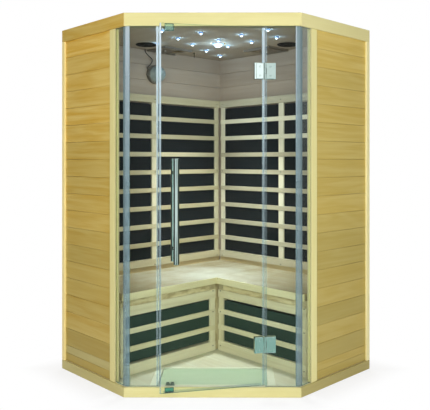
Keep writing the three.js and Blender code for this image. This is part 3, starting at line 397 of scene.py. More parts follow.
# The rear stiles of the side walls are paler, a painted highlight on the edge that catches the light.
side_edge_highlight = {"left": timber("left_edge_timber", (254, 236, 166), (240, 214, 138), 0.3),
             "right": timber("right_edge_timber", (253, 246, 194), (240, 228, 166), 0.3)}
# The two side walls take lit and shaded copies of the honey timber, which paint the light on each side.
honey = {"left": timber("honey_left", (236, 208, 122), (213, 165, 50), 0.7, tone_colour=(150, 138, 74)),
         "right": timber("honey_right", (230, 208, 128), (212, 180, 84), 0.7, tone_colour=(158, 146, 82))}
inside_boards = timber("inside_boards", (174, 158, 139), (149, 132, 113), 0.35, 0.6)
outside_back = timber("outside_back", (226, 202, 150), (204, 172, 116), 0.5, 0.55,
                      tone_colour=(186, 158, 108))
slat_finish = {
    "left": timber("left_slat_timber", (182, 172, 138), (158, 143, 106), roughness=0.55, tone_colour=PAINTED_SLAT_LIGHT),
    "right": timber("right_slat_timber", (177, 170, 145), (153, 142, 115), roughness=0.55, tone_colour=PAINTED_SLAT_LIGHT)}
kick_timber = timber("kick_timber", (230, 223, 188), (204, 193, 150))
# The lath under each back rest is browner and darker, painted shade for the gap under the low board.
foot_shade_timber = timber("foot_shade_timber", (186, 169, 128), (159, 139, 97), 0.5, 0.6)
rough_timber = timber("rough_timber", (238, 227, 180), (204, 187, 138), 0.8, 0.75,
                      patch=((150, 128, 84), 0.022, 0.6, None))
# The planks' patch is a painted pool of light in the corner under the ceiling lamp.
bench_timber = timber("bench_timber", (164, 155, 124), (136, 121, 88), 0.5,
                      patch=((200, 201, 186), 0.48, 0.8, (-0.05, -0.04, 0.49)))
fascia_timber = timber("fascia_timber", (236, 229, 184), (212, 200, 150), 0.4, 0.45)
pad_timber = timber("pad_timber", (228, 229, 206), (206, 204, 176), 0.3)
vent_timber = timber("vent_timber", (130, 118, 102), (106, 96, 82))
floor_timber = timber("floor_timber", (218, 219, 198), (192, 188, 157), 0.45, 0.5, False, QUARTER,
                      SHEET_EDGE, patch=((190, 176, 128), 0.07, 0.22, None))
ceiling_boards = timber("ceiling_boards", (168, 155, 136), (143, 129, 111), 0.3, 0.6, False, QUARTER,
                        SHEET_EDGE)
cleat_timber = timber("cleat_timber", (228, 216, 174), (204, 186, 140), own_grain=False, turn=QUARTER)
plywood = timber("roof_plywood", (222, 198, 148), (192, 164, 112), 0.7, 0.65, False)
print("timber finishes:", len(bpy.data.materials))

# %% [markdown]
# ## Boards
# No real board has a knife edge, and it is the rounded edge that catches the light. A board starts as
# a cube, is scaled to its size and bevelled all round, and gets its grain before it is put in place.
# The bevel's own defaults differ from the editor's, so its settings are all given.

# %% Boards
ALONG, ACROSS, UPRIGHT = 0, 1, 2
EASE = 0.0015
GRAIN_SLIDE = 4.0
GRAIN_SHIFT = 0.4


def new_bmesh():
    made = bmesh.new()
    made.verts.layers.float_vector.new("grain")
    made.verts.layers.float.new("tone")
    return made


def soften(bm, edges, ease, segments=2):
    bmesh.ops.bevel(bm, geom=edges, offset=ease, offset_type="OFFSET", affect="EDGES",
                    segments=segments, profile=0.5, material=-1, clamp_overlap=True)


def give_grain(bm, verts, spot, along, tone):
    """Writes the grain of one board, in the spot's own directions, with x along the fibres."""
    grain = bm.verts.layers.float_vector["grain"]
    shade = bm.verts.layers.float["tone"]
    start = Vector((luck.uniform(-1, 1) * GRAIN_SLIDE, luck.uniform(-1, 1) * GRAIN_SHIFT,
                    luck.uniform(-1, 1) * GRAIN_SHIFT))
    tone = tone + luck.uniform(-1, 1)
    turn = spot.inverted()
    for vert in verts:
        point = turn @ vert.co
        vert[grain] = Vector([point[(along + step) % 3] for step in range(3)]) + start
        vert[shade] = tone


def fresh_from(bm, before):
    return [vert for vert in bm.verts if vert not in before]


def add_board(bm, spot, low, high, along=ALONG, ease=EASE, tone=0.0, finish=0):
    low, high = Vector(low), Vector(high)
    before = set(bm.verts)
    cube = bmesh.ops.create_cube(bm, size=1.0)["verts"]
    bmesh.ops.scale(bm, vec=high - low, verts=cube)
    if ease:
        soften(bm, list({edge for vert in cube for edge in vert.link_edges}), ease)
    fresh = fresh_from(bm, before)
    for face in {face for vert in fresh for face in vert.link_faces}:
        face.material_index = finish
    give_grain(bm, fresh, Matrix.Identity(4), along, tone)
    bmesh.ops.transform(bm, matrix=spot @ Matrix.Translation((low + high) / 2), verts=fresh)


print("edges are eased by", EASE * 1000, "mm")

# %% [markdown]
# ## Softened solids, turned parts and pieces
# A piece that isn't a plain board starts from a merged copy of its solid, with the same bevel on its
# sharp edges. Round fittings are turned: a profile spins about an axis, as on a lathe. Each finished
# mesh then becomes a piece that rides on its body and hides the solid it stands for.

# %% Softened solids, turned parts and pieces
SHARP_ANGLE = math.radians(28)
FLAT_ANGLE = math.radians(1)
MERGE = 0.00002
SOFT_SHADING = 20                # degrees between faces that shade as one
ROUND_SHADING = 35
BLUNT_SHADING = 40
LEAD_SHADING = 70


def solid_copy(node, spot, ease=EASE, along=ALONG, tone=0.0):
    bm = new_bmesh()
    bm.from_mesh(frame["nodes"][node].data)
    bmesh.ops.remove_doubles(bm, verts=bm.verts, dist=MERGE)
    bmesh.ops.dissolve_limit(bm, angle_limit=FLAT_ANGLE, verts=bm.verts, edges=bm.edges)
    sharp = [edge for edge in bm.edges if edge.is_manifold and edge.calc_face_angle() > SHARP_ANGLE]
    if ease:
        soften(bm, sharp, ease)
    give_grain(bm, bm.verts, spot, along, tone)
    return bm


def add_turned(bm, profile, matrix, steps=32, finish=0):
    """Turns a profile of (radius, height) points about the z axis, as a lathe does."""
    before = set(bm.verts)
    verts = [bm.verts.new((radius, 0, height)) for radius, height in profile]
    edges = [bm.edges.new(pair) for pair in zip(verts, verts[1:])]
    bmesh.ops.spin(bm, geom=verts + edges, cent=(0, 0, 0), axis=(0, 0, 1), dvec=(0, 0, 0),
                   angle=2 * math.pi, steps=steps, use_merge=True, use_duplicate=False)
    bmesh.ops.remove_doubles(bm, verts=fresh_from(bm, before), dist=MERGE)
    fresh = fresh_from(bm, before)
    bmesh.ops.transform(bm, matrix=matrix, verts=fresh)
    faces = list({face for vert in fresh for face in vert.link_faces})
    bmesh.ops.recalc_face_normals(bm, faces=faces)
    for face in faces:
        face.material_index = finish


def make_piece(name, bm, finishes, body="cabin", stands_for=(), smooth=SOFT_SHADING):
    mesh = bpy.data.meshes.new(name)
    bm.to_mesh(mesh)
    bm.free()
    for finish in finishes if isinstance(finishes, (list, tuple)) else [finishes]:
        mesh.materials.append(finish)
    mesh.shade_smooth()
    mesh.set_sharp_from_angle(angle=math.radians(smooth))
    piece = bpy.data.objects.new(name, mesh)
    scene.collection.objects.link(piece)
    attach(piece, body)
    if stands_for:
        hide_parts(*stands_for)
    return piece


def softened(node, spot, finish, body="cabin", ease=EASE, tone=0.0, smooth=SOFT_SHADING):
    bm = solid_copy(node, spot, ease, ALONG, tone)
    return make_piece(node + "_shown", bm, finish, body, [node], smooth)


print("solids to dress:", len(frame["nodes"]))

# %% [markdown]
# ## Crown, base, posts and head rail
# These are the trim boards that frame the glass. Their solids already have the mitres and the glass
# slot, so softened copies are enough. The grain runs along each board, and up the posts. The narrow
# front edge of a post has a darker finish of its own, which paints the shade on it, and the head rail's
# dark finish paints the shade under the crown. The side boards take lit and shaded copies of the timber.

# %% Crown, base, posts and head rail
# The side boards of the crown and the base take lit and shaded copies of the timber, which paint the light and
# shade on each face; the left crown board is toned darker still.
CROWN_TONE = 1.2
TRIM_EASE = 0.002
side_trim = {"crown_left": honey["left"], "crown_right": crown_right_timber,
             "base_left": straw_timber, "base_right": base_right_timber}

for level in ("crown", "base"):
    softened(f"{level}_front_board", front_spot, pale_timber, ease=TRIM_EASE)
    for hand in HANDS:
        place = f"{level}_{hand}"
        tone = CROWN_TONE if place == "crown_left" else 0.0
        softened(f"{place}_board", side_spot[hand], side_trim[place],
                 ease=TRIM_EASE, tone=tone)
for hand in HANDS:
    node = f"{hand}_front_post"
    bm = solid_copy(node, side_spot[hand], along=UPRIGHT)
    # Faces that point forward are the post's end, whose darker finish paints the shade on it.
    forward = side_spot[hand].to_3x3() @ Vector((1 if hand == "left" else -1, 0, 0))
    for face in bm.faces:
        face.material_index = int(face.normal.dot(forward) > 0.9)
    finishes = [lit_post_face[hand], post_end_shade_timber]
    make_piece(node + "_shown", bm, finishes, stands_for=[node])
# Its dark finish paints the shade under the crown.
softened("front_head_rail", front_spot, head_shade_timber)

# %% [markdown]
# ## Wall boards
# Each wall is a frame with tongue-and-groove boards on both faces. The grooves of the solid say where
# the boards meet, so the boards are laid between those heights. A plain core stands for the frame
# between them, and a thin lath covers the boards' ends where a wall meets the next. A hair-wide gap at
# the bottom of each groove gives the dark line of a real joint.

# %% Wall boards
BOARD_THICKNESS = 0.014
BOARD_GAP = 0.0003
BOARD_EASE = 0.0018
GROOVE_DEPTH = 0.003
BATTEN_LIMIT = 0.06
EDGE_LATH = 0.012
LOW_TONE = 4.0                   # how much darker the lowest outer boards are than the top ones
INNER_TONE = 0.3
BATTEN_TONE = 1.8
FRAME_TONE = 3.0
OUTER, INNER = 0, 1              # places of the two boards' finishes on a wall


def clad(bm, spot, ends, faces, heights, finish, batten_finish):
    for index, (low, high) in enumerate(zip(heights, heights[1:])):
        corner_low = (ends[0], faces[0], low + BOARD_GAP)
        corner_high = (ends[1], faces[1], high - BOARD_GAP)
        tone = LOW_TONE * (1 - low / cad_high.z) if finish == OUTER else INNER_TONE
        shown = finish
        if index == 1 and high - low < BATTEN_LIMIT:
            tone = BATTEN_TONE
            shown = batten_finish
        add_board(bm, spot, corner_low, corner_high, ALONG, BOARD_EASE, tone, shown)


def wall_boards(bm, node, spot, low, high, lathed, batten_finish=OUTER):
    outer_joints = groove_heights(node, spot, low.y + GROOVE_DEPTH, low.z, high.z)
    inner_joints = groove_heights(node, spot, high.y - GROOVE_DEPTH, low.z, high.z)
    core = (low.y + BOARD_THICKNESS, high.y - BOARD_THICKNESS)
    outer_heights = [low.z, *outer_joints, high.z]
    clad(bm, spot, (low.x, high.x), (low.y, core[0]), outer_heights, OUTER, batten_finish)
    ends = (low.x + EDGE_LATH * lathed[0], high.x - EDGE_LATH * lathed[1])
    clad(bm, spot, ends, (core[1], high.y), [low.z, *inner_joints, high.z], INNER, INNER)
    for near, far in ((low.x, ends[0]), (ends[1], high.x)):
        if far > near:
            lath_high = (far, high.y, high.z)
            add_board(bm, spot, (near, core[1], low.z), lath_high, UPRIGHT, BOARD_GAP, FRAME_TONE)
    core_low = (low.x + BOARD_GAP, core[0], low.z + BOARD_GAP)
    core_high = (high.x - BOARD_GAP, core[1], high.z - BOARD_GAP)
    add_board(bm, spot, core_low, core_high, tone=FRAME_TONE)
    return len(outer_joints) + len(inner_joints) + 2


print("boards are", BOARD_THICKNESS * 1000, "mm thick, with gaps of", 2 * BOARD_GAP * 1000, "mm")

# %% [markdown]
# ## The four walls
# The side walls show their honey-coloured boards outside, with a stile at the rear edge and a narrow
# batten between the lowest boards. The back walls stand in the corner of a room, so their outer boards
# are plainer.

# %% The four walls
STILE_WIDTH = 0.026
STILE, BATTEN = 2, 3             # places of these finishes on a side wall

board_count = 0
for hand in HANDS:
    node = f"{hand}_side_panel"
    spot = side_spot[hand]
    low, high = extent(node, spot)
    outer = levels(f"base_{hand}_board", spot, 1)[-1] + BOARD_GAP
    boards_low = Vector((low.x, outer, low.z))
    batten_finish = BATTEN if hand == "left" else OUTER
    lathed = (hand == "left", hand == "right")
    bm = new_bmesh()
    board_count += wall_boards(bm, node, spot, boards_low, high, lathed, batten_finish)
    # The rear stile takes its paler finish, a painted highlight on the edge.
    stile_start = low.x if hand == "left" else high.x - STILE_WIDTH
    stile_high = (stile_start + STILE_WIDTH, outer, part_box(f"crown_{hand}_board")[0].z)
    add_board(bm, spot, (stile_start, low.y, low.z), stile_high, UPRIGHT, finish=STILE)
    finishes = [honey[hand], inside_boards, side_edge_highlight[hand], straw_timber]
    make_piece(f"{hand}_side_boards", bm, finishes, stands_for=[node])

for hand in HANDS:
    node = f"back_{hand}_wall"
    spot = back_spot[hand]
    low, high = extent(node, spot)
    bm = new_bmesh()
    board_count += wall_boards(bm, node, spot, low, high, (True, hand == "left"))
    finishes = [outside_back, inside_boards]
    make_piece(f"back_{hand}_boards", bm, finishes, stands_for=[node])
print("wall boards:", board_count)

# %% [markdown]
# ## Slatted back rests
# The back rests are slats screwed over stiles, with flat heaters behind them. The levels of each
# grille's solid give the slats and the stiles. The stiles sit a little behind the slats, as they do
# where slats are laid over a frame. The low board stands on a set-back lath, whose brown finish is
# painted shade for the gap under the board, and the slats end at the stiles, which leaves an open slot
# in the corner. The upper slats, the low and top boards and the stiles are painted lighter, as painted
# light.

# %% Slatted back rests
STILE_BEHIND = 0.004
SLAT_UNDER = 0.003               # slat edges inside the edges of the solid, at the bottom and the top
BACK_SLAT_OVER = 0.007
FOOT_LATH = 0.027                # set-back lath between a back grille and the seat
FOOT_BEHIND = 0.006
LOW_BOARD_RISE = 0.001
# How many top slats, and how far the boards, slats and stiles, are taken towards the painted light.
LIT_TOP_SLATS = 2
BOARD_LIGHT_TONE = {"left": 0.9, "right": 1.0}
SLAT_LIGHT_TONE = {"left": 1.6, "right": 4.8}
STILE_LIGHT_TONE = {"left": 2.2, "right": 3.6}
LATH = 1                         # place of a lath's finish on a grille
screw_places = []


def without_corner(ends):
    """The ends of the stiles, without the one that only closes the corner."""
    return ends if len(ends) % 2 == 0 else [end for end in ends if end != min(ends, key=abs)]


def add_stiles(bm, spot, ends, faces, foot, top, bars, tone=0.0):
    for low, high in zip(ends[::2], ends[1::2]):
        corner_low = (low + BOARD_GAP, faces[0] + BOARD_GAP, foot + BOARD_GAP)
        corner_high = (high - BOARD_GAP, faces[-1] - STILE_BEHIND, top - BOARD_GAP)
        add_board(bm, spot, corner_low, corner_high, UPRIGHT, tone=tone)
        for bar_low, bar_high in (bars[0], bars[len(bars) // 2], bars[-1]):
            screw_places.append((((low + high) / 2, faces[-1], (bar_low + bar_high) / 2), spot))


def back_rest(hand):
    node, spot = f"{hand}_back_grille", back_spot[hand]
    ends, faces, heights = (levels(node, spot, axis) for axis in range(3))
    bars = list(zip(heights[::2], heights[1::2]))
    stile_ends = without_corner(ends)
    seat = heights[0] + FOOT_LATH
    bm = new_bmesh()
    # The lath's darker finish paints the shade in the gap under the low board.
    lath_high = (ends[-1], faces[-1] - FOOT_BEHIND, seat - BOARD_GAP)
    add_board(bm, spot, (ends[0], faces[0], heights[0]), lath_high, finish=LATH)
    low_board_high = (ends[-1], faces[-1], bars[0][1] + LOW_BOARD_RISE)
    add_board(bm, spot, (ends[0], faces[0], seat), low_board_high, tone=BOARD_LIGHT_TONE[hand])
    for index, (low, high) in enumerate(bars[1:-1], start=2):
        tone = SLAT_LIGHT_TONE[hand] if len(bars) - index <= LIT_TOP_SLATS else 0.0
        slat_high = (stile_ends[-1], faces[-1], high - BACK_SLAT_OVER)
        add_board(bm, spot, (stile_ends[0], faces[1], low + SLAT_UNDER), slat_high, tone=tone)
    top_board_high = (ends[-1], faces[-1], heights[-1])
    top_board_low = (ends[0], faces[0], bars[-1][0] + SLAT_UNDER)
    add_board(bm, spot, top_board_low, top_board_high, tone=BOARD_LIGHT_TONE[hand])
    add_stiles(bm, spot, stile_ends, faces, seat, heights[-1], bars, STILE_LIGHT_TONE[hand])
    finishes = [slat_finish[hand], foot_shade_timber]
    make_piece(node + "_slats", bm, finishes, stands_for=[node])
    return len(bars)


# The top slats are painted lighter, as painted light.
print("lightened slats on each back rest:", LIT_TOP_SLATS)

# %% [markdown]
# ## Slatted bench fronts
# Under the seat the slats run along the front of the bench. A rough lath hangs under the seat with a
# dark slot over it, and a rough filler closes the corner at the left. The slats at the right sit a
# little higher, as they do on the real cabin.

# %% Slatted bench fronts
KICK_SLAT_OVER = 0.0065
KICK_RISE = {"left": 0.0, "right": 0.006}
KICK_END_GAP = 0.009
KICK_LATH = 0.042
LATH_GAP = 0.005
KICK_FILLER = 0.034


def bench_front(hand):
    node, spot = f"{hand}_kick_grille", back_spot[hand]
    ends, faces, heights = (levels(node, spot, axis) for axis in range(3))
    bars = list(zip(heights[::2], heights[1::2]))
    outer, corner = max(ends, key=abs), min(ends, key=abs)
    ends = [end - math.copysign(KICK_END_GAP, end) if end == outer else end for end in ends]
    rise = KICK_RISE[hand]
    bm = new_bmesh()
    for low, high in bars:
        back = faces[0] if (low, high) in (bars[0], bars[-1]) else faces[1]
        bottom = low if low == heights[0] else low + SLAT_UNDER + rise
        top = high - KICK_SLAT_OVER + rise
        if high == heights[-1]:
            lath_low = (ends[0], back, high - KICK_LATH)
            lath_high = (ends[-1], faces[-1] - STILE_BEHIND, high - LATH_GAP)
            add_board(bm, spot, lath_low, lath_high, finish=LATH)
            top = high - KICK_LATH - BOARD_GAP
        add_board(bm, spot, (ends[0], back, bottom), (ends[-1], faces[-1], top))
    add_stiles(bm, spot, without_corner(ends), faces, heights[0], heights[-1], bars)
    if hand == "left":
        filler = sorted((corner - math.copysign(KICK_FILLER, corner), corner))
        filler_high = (filler[1], faces[1], heights[-1])
        add_board(bm, spot, (filler[0], faces[0], heights[0]), filler_high, UPRIGHT, finish=LATH)
    make_piece(node + "_slats", bm, [kick_timber, rough_timber], stands_for=[node])
    return len(bars)


slat_count = 0
for hand in HANDS:
    slat_count += back_rest(hand)
    slat_count += bench_front(hand)
print("slats:", slat_count, "screws to come:", len(screw_places))

# %% [markdown]
# ## Bench
# The seat is made of five planks along each wall, with a paler fascia board at the front. The planks
# carry a painted pool of light in the corner where the ceiling light falls on them, which is the
# finish's patch round one centre. The top of the fascia takes the planks' finish, with its painted pool
# of light.

# %% Bench
SEAT_PLANKS = 5
FASCIA = 0.014
FASCIA_EASE = 0.0025

for hand in HANDS:
    node = f"{hand}_bench_seat"
    spot = back_spot[hand]
    low, high = extent(node, spot)
    width = (high.y - FASCIA - low.y) / SEAT_PLANKS
    bm = new_bmesh()
    add_board(bm, spot, (low.x, high.y - FASCIA, low.z), high, ALONG, FASCIA_EASE, finish=1)
    for index in range(SEAT_PLANKS):
        near = low.y + index * width
        plank_high = (high.x, near + width - BOARD_GAP, high.z)
        add_board(bm, spot, (low.x, near + BOARD_GAP, low.z), plank_high)
    for face in bm.faces:
        if face.normal.z > 0.5:
            face.material_index = 0
    finishes = [bench_timber, fascia_timber]
    make_piece(f"{hand}_bench_planks", bm, finishes, stands_for=[node])
print("seat planks:", 2 * SEAT_PLANKS)

# %% [markdown]
# ## Floor heater
# Behind the door lies a heater pad under a woven cover, in a frame of four boards. A fine checker
# pattern gives the weave, and a slow noise gives the clouds of a cover that feet have worn.

# %% Floor heater
PAD_GAP = 0.003
WEAVE_SCALE = 300.0
WEAVE_SHARE = 0.15
CLOUD_STRETCH = (3.0, 9.0, 9.0)

pad_finish, paint, shader = new_finish("floor_pad", Roughness=0.75, Specular_IOR_Level=0.2)
seen = paint.here()
weave = seen.node("ShaderNodeTexChecker", None, {"Vector": seen, "Scale": WEAVE_SCALE}, output=1)
cloud = seen.stretched(*CLOUD_STRETCH).noise(1.0, 2.0)
worn = weave * WEAVE_SHARE + cloud * (1 - WEAVE_SHARE)
feed(worn.blend(linear(197, 208, 180), linear(164, 184, 149)), shader, "Base Color")
bump(weave, shader, 0.3, 0.0004)

x, y, z = (levels("floor_heater", world_spot, axis) for axis in range(3))
bm = new_bmesh()
for ends in (x[:2], x[2:]):
    add_board(bm, world_spot, (ends[0], y[0], z[0]), (ends[1], y[3], z[2]), ACROSS)
for ends in (y[:2], y[2:]):
    add_board(bm, world_spot, (x[1], ends[0], z[0]), (x[2], ends[1], z[2]), ALONG)
make_piece("floor_heater_frame", bm, pad_timber, stands_for=["floor_heater"])
bm = new_bmesh()
add_board(bm, world_spot, (x[1] + PAD_GAP, y[1] + PAD_GAP, z[0]), (x[2] - PAD_GAP, y[2] - PAD_GAP, z[1]))
make_piece("floor_heater_pad", bm, pad_finish)
print("heater pad", round(x[2] - x[1], 3), "by", round(y[2] - y[1], 3), "m")

# %% [markdown]
# ## Sheets that stay as they are
# The heaters, the ceiling, the roof, the floor and the cleat under the seats are plain, so their solids
# stay and only take a finish. Those finishes read the object's own coordinates, because a solid has no
# grain. The carbon heaters are matt, and those under the bench take a lighter, greener copy of the
# finish, which paints the light they catch.

# %% Sheets that stay as they are
FABRIC_STRETCH = (60, 60, 160)


def carbon_sheet(name, light, dark, roughness, gloss):
    material, paint, shader = new_finish(name, Roughness=roughness, Specular_IOR_Level=gloss)
    fabric = paint.here().stretched(*FABRIC_STRETCH).noise(1.0, 2.0)
    feed(fabric.blend(linear(*light), linear(*dark)), shader, "Base Color")
    return material


def keep(finish, slot, *nodes):
    for node in nodes:
        solid = frame["nodes"][node]
        solid.data.materials.clear()
        solid.data.materials.append(finish)


carbon = carbon_sheet("heater_carbon", (17, 21, 24), (27, 32, 34), 0.55, 0.25)
# The heaters under the bench take a lighter, greener copy, which paints the light they catch.
lit_kick_carbon = carbon_sheet("lit_kick_carbon", (38, 55, 48), (50, 69, 60), 0.5, 0.3)
keep(floor_timber, "bench_timber", "floor_panel")
keep(ceiling_boards, "inside_boards", "ceiling_panel")
keep(plywood, "roof_plywood", "roof_cover")
keep(cleat_timber, "slat_timber", "bench_cleat")
for hand in HANDS:
    keep(carbon, "heater_carbon", f"{hand}_corner_heater", f"{hand}_end_heater")
    keep(lit_kick_carbon, "heater_carbon", f"{hand}_kick_heater")
print("finishes so far:", len(bpy.data.materials))

# %% [markdown]
# ## Glass
# A pane is nearly invisible from the front, and turns into a mirror at a shallow angle. A mix of a
# tinted clear shader with a mirror does that, with a share that grows as the glass turns away. The cut
# edges show the green of the glass. The narrow pane at the right has a faint milky skin which grows
# with height, a painted reflection, and so have the clear profiles, where it paints their sheen.

# %% Glass
GLASS_TINT = (0.955, 0.985, 0.975, 1)
PROFILE_TINT = (0.93, 0.97, 0.98, 1)
TURN_POWER = 4
RISE_POWER = 4


def see_through(name, tint, share, least, rise=0.0, **sockets):
    """A clear finish with a glossy skin, which shows more where the surface turns away, and higher up, where
    it paints a reflection.
    """
    material, paint, shader = new_finish(name, **sockets)
    clear = paint.node("ShaderNodeBsdfTransparent", None, {"Color": tint})
    facing = paint.node("ShaderNodeLayerWeight", None, {"Blend": 0.5}, output=1)
    amount = facing ** TURN_POWER * share + least
    if rise:
        amount = amount + paint.here().axis(2) ** RISE_POWER * rise
    skin = Paint(paint.tree, shader.outputs[0])
    show(paint.node("ShaderNodeMixShader", None, {0: amount.clamped(), 1: clear, 2: skin}))
    return material


def clear_profile(name, least, rise):
    sockets = {"Base_Color": linear(218, 234, 242), "Roughness": 0.15}
    return see_through(name, PROFILE_TINT, 0.3, least, rise, **sockets)


glass = see_through("clear_glass", GLASS_TINT, 0.2, 0.003,
                    Base_Color=(1, 1, 1, 1), Metallic=1.0, Roughness=0.02)
# The right return pane's milky skin grows with height, a painted reflection.
painted_reflection_glass = see_through("painted_reflection_glass", GLASS_TINT, 0.2, 0.003, 0.012,
                           Base_Color=linear(224, 234, 230), Roughness=0.2)
glass_edge = see_through("glass_edge", (0.45, 0.68, 0.6, 1), 0.3, 0.4,
                         Base_Color=linear(92, 140, 124), Roughness=0.15)
# The skins of the strips and profiles grow with height, a painted sheen.
corner_strip = see_through("corner_strip", (0.8, 0.88, 0.9, 1), 0.3, 0.45, 0.02,
                           Base_Color=linear(142, 163, 168), Roughness=0.2)
strip_bead = see_through("strip_bead", (0.94, 0.97, 0.98, 1), 0.2, 0.02, 0.042,
                         Base_Color=linear(222, 236, 244), Roughness=0.2)
door_strip = clear_profile("door_strip", 0.1, 0.06)
hinge_strip = clear_profile("hinge_strip", 0.075, 0.045)
dim_strip = clear_profile("dim_strip", 0.04, 0.008)
print("clear finishes: 5 and 3 profiles")

# %% [markdown]
# ## Panes and corner strips
# The panes are softened copies of their solids. Faces that point along a pane's own y axis are the
# sheet, and the others are the cut edge. A clear plastic strip closes each front corner, with a thin
# raised bead on its face.

# %% Panes and corner strips
PANE_EASE = 0.0006
BEAD_WIDTH = {"left": 0.02, "right": 0.006}
BEAD_RAISE = 0.0008
BEAD_EASE = 0.0003
SHEET, CUT_EDGE = 0, 1


def glaze(node, spot, body="cabin"):
    bm = solid_copy(node, spot, ease=PANE_EASE)
    turn = spot.to_3x3().inverted()
    for face in bm.faces:
        face.material_index = SHEET if abs((turn @ face.normal).y) > 0.9 else CUT_EDGE
    sheet = painted_reflection_glass if node == "right_return_pane" else glass
    make_piece(node + "_shown", bm, [sheet, glass_edge], body, [node])


for hand in HANDS:
    glaze(f"{hand}_return_pane", side_spot[hand])
    glaze(f"{hand}_fixed_pane", front_spot)
    node = f"{hand}_corner_strip"
    softened(node, front_spot, corner_strip, ease=TRIM_EASE, smooth=BLUNT_SHADING)
    low, high = extent(node, front_spot)
    edge = high.x if hand == "left" else low.x
    ends = sorted((edge, edge + math.copysign(BEAD_WIDTH[hand], edge)))
    bm = new_bmesh()
    bead_low = (ends[0], low.y - BEAD_RAISE, low.z)
    add_board(bm, front_spot, bead_low, (ends[1], low.y, high.z), UPRIGHT, BEAD_EASE)
    make_piece(f"{hand}_strip_bead", bm, strip_bead)
glaze("door_glass", door_spot, "door")

# %% [markdown]
# ## Door seals
# Clear channels grip the upright edges beside the door, with one rib or two on each face, and a sweep
# hangs at its foot. A channel is three thin boards, which is all that shows of it. Beside the hinges
# the channels are cut away, so they are made in the stretches that the hinges leave free.

# %% Door seals
PANE_RIBS = {"left": ((0.0, 0.0045), (0.008, 0.0175)), "right": ((0.0, 0.007),)}
DOOR_RIBS = {"free": ((0.0, 0.0052),), "hinge": ((0.0, 0.0102),)}
SEAL_WALL = 0.0012
SEAL_PLAY = 0.0001
SEAL_EASE = 0.0004
SWEEP_INSET = 0.016
SWEEP_HEIGHT = 0.011


def seal(bm, spot, edge, inward, faces, heights, ribs):
    foot, top = heights
    tip = sorted((edge - inward * SEAL_WALL, edge - inward * SEAL_PLAY))
    outer = (faces[0] - SEAL_WALL - SEAL_PLAY, faces[0] - SEAL_PLAY)
    inner = (faces[1] + SEAL_PLAY, faces[1] + SEAL_WALL + SEAL_PLAY)
    for near, far in ribs:
        start = edge - inward * SEAL_WALL if near == 0 else edge + inward * near
        legs = sorted((start, edge + inward * far))
        for near_face, far_face in (outer, inner):
            leg_high = (legs[1], far_face, top)
            add_board(bm, spot, (legs[0], near_face, foot), leg_high, UPRIGHT, SEAL_EASE)
    add_board(bm, spot, (tip[0], outer[1], foot), (tip[1], inner[0], top), UPRIGHT, 0)


def clear_of_hinges(low, high):
    """The stretches of an upright edge that the two hinges leave free."""
    lower, upper = (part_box(f"{level}_hinge_door_leaf") for level in ("lower", "upper"))
    starts = (low, lower[1].z + SEAL_WALL, upper[1].z + SEAL_WALL)
    return list(zip(starts, (lower[0].z - SEAL_WALL, upper[0].z - SEAL_WALL, high)))


def seal_edge(name, spot, edge, inward, low, high, hinged, ribs, finish, body):
    bm = new_bmesh()
    for heights in clear_of_hinges(low.z, high.z) if hinged else [(low.z, high.z)]:
        seal(bm, spot, edge, inward, (low.y, high.y), heights, ribs)
    make_piece(name, bm, finish, body)


low, high = extent("left_fixed_pane", front_spot)
seal_edge("left_pane_seal", front_spot, high.x, -1, low, high, False, PANE_RIBS["left"], door_strip, "cabin")
low, high = extent("right_fixed_pane", front_spot)
seal_edge("right_pane_seal", front_spot, low.x, 1, low, high, True, PANE_RIBS["right"], dim_strip, "cabin")
low, high = extent("door_glass", door_spot)
seal_edge("door_free_seal", door_spot, low.x, 1, low, high, False, DOOR_RIBS["free"], door_strip, "door")
seal_edge("door_hinge_seal", door_spot, high.x, -1, low, high, True, DOOR_RIBS["hinge"], hinge_strip, "door")
bm = new_bmesh()
for depth in (low.y - SEAL_WALL - SEAL_PLAY, high.y + SEAL_PLAY):
    sweep_high = (high.x - SWEEP_INSET, depth + SEAL_WALL, low.z + SWEEP_HEIGHT)
    add_board(bm, door_spot, (low.x + SWEEP_INSET, depth, low.z), sweep_high, ALONG, SEAL_EASE)
make_piece("door_sweep", bm, strip_bead, "door")
print("door glass", round(high.x - low.x, 3), "by", round(high.z - low.z, 3), "m")

# %% [markdown]
# ## Hinges
# The two hinges clamp the glass between plates. Each outer plate carries a raised cover with a screw
# at each end. The plates are softened copies of their solids, the covers are boards, and the screw
# heads are turned with a recess.

# %% Hinges
COVER_RAISE = 0.0022
COVER_INSET = 0.008
COVER_EASE = 0.0018
COVER_MARGIN = 0.001
LEAF_EASE = 0.0012
PIN_CLEARANCE = 0.0075
SCREW_SHARES = (0.22, 0.78)

# The mint tint of the chrome paints the teal reflection that the hinges show.
chrome = new_finish("chrome", Base_Color=(0.54, 0.68, 0.64, 1), Metallic=1.0, Roughness=0.08)[0]


def facing_out(spot, point, sign=-1):
    """A turned piece's place: its z axis along the spot's y axis, out of the cabin or into it."""
    turn = Matrix.Rotation(-sign * math.pi / 2, 4, "X")
    return Matrix.Translation(spot @ Vector(point)) @ spot.to_3x3().to_4x4() @ turn


def screw_head(radius, height):
    return [(0, 0), (radius, 0), (radius, height * 0.4), (radius * 0.8, height), (radius * 0.45, height),
            (radius * 0.35, height * 0.3), (0, height * 0.3)]


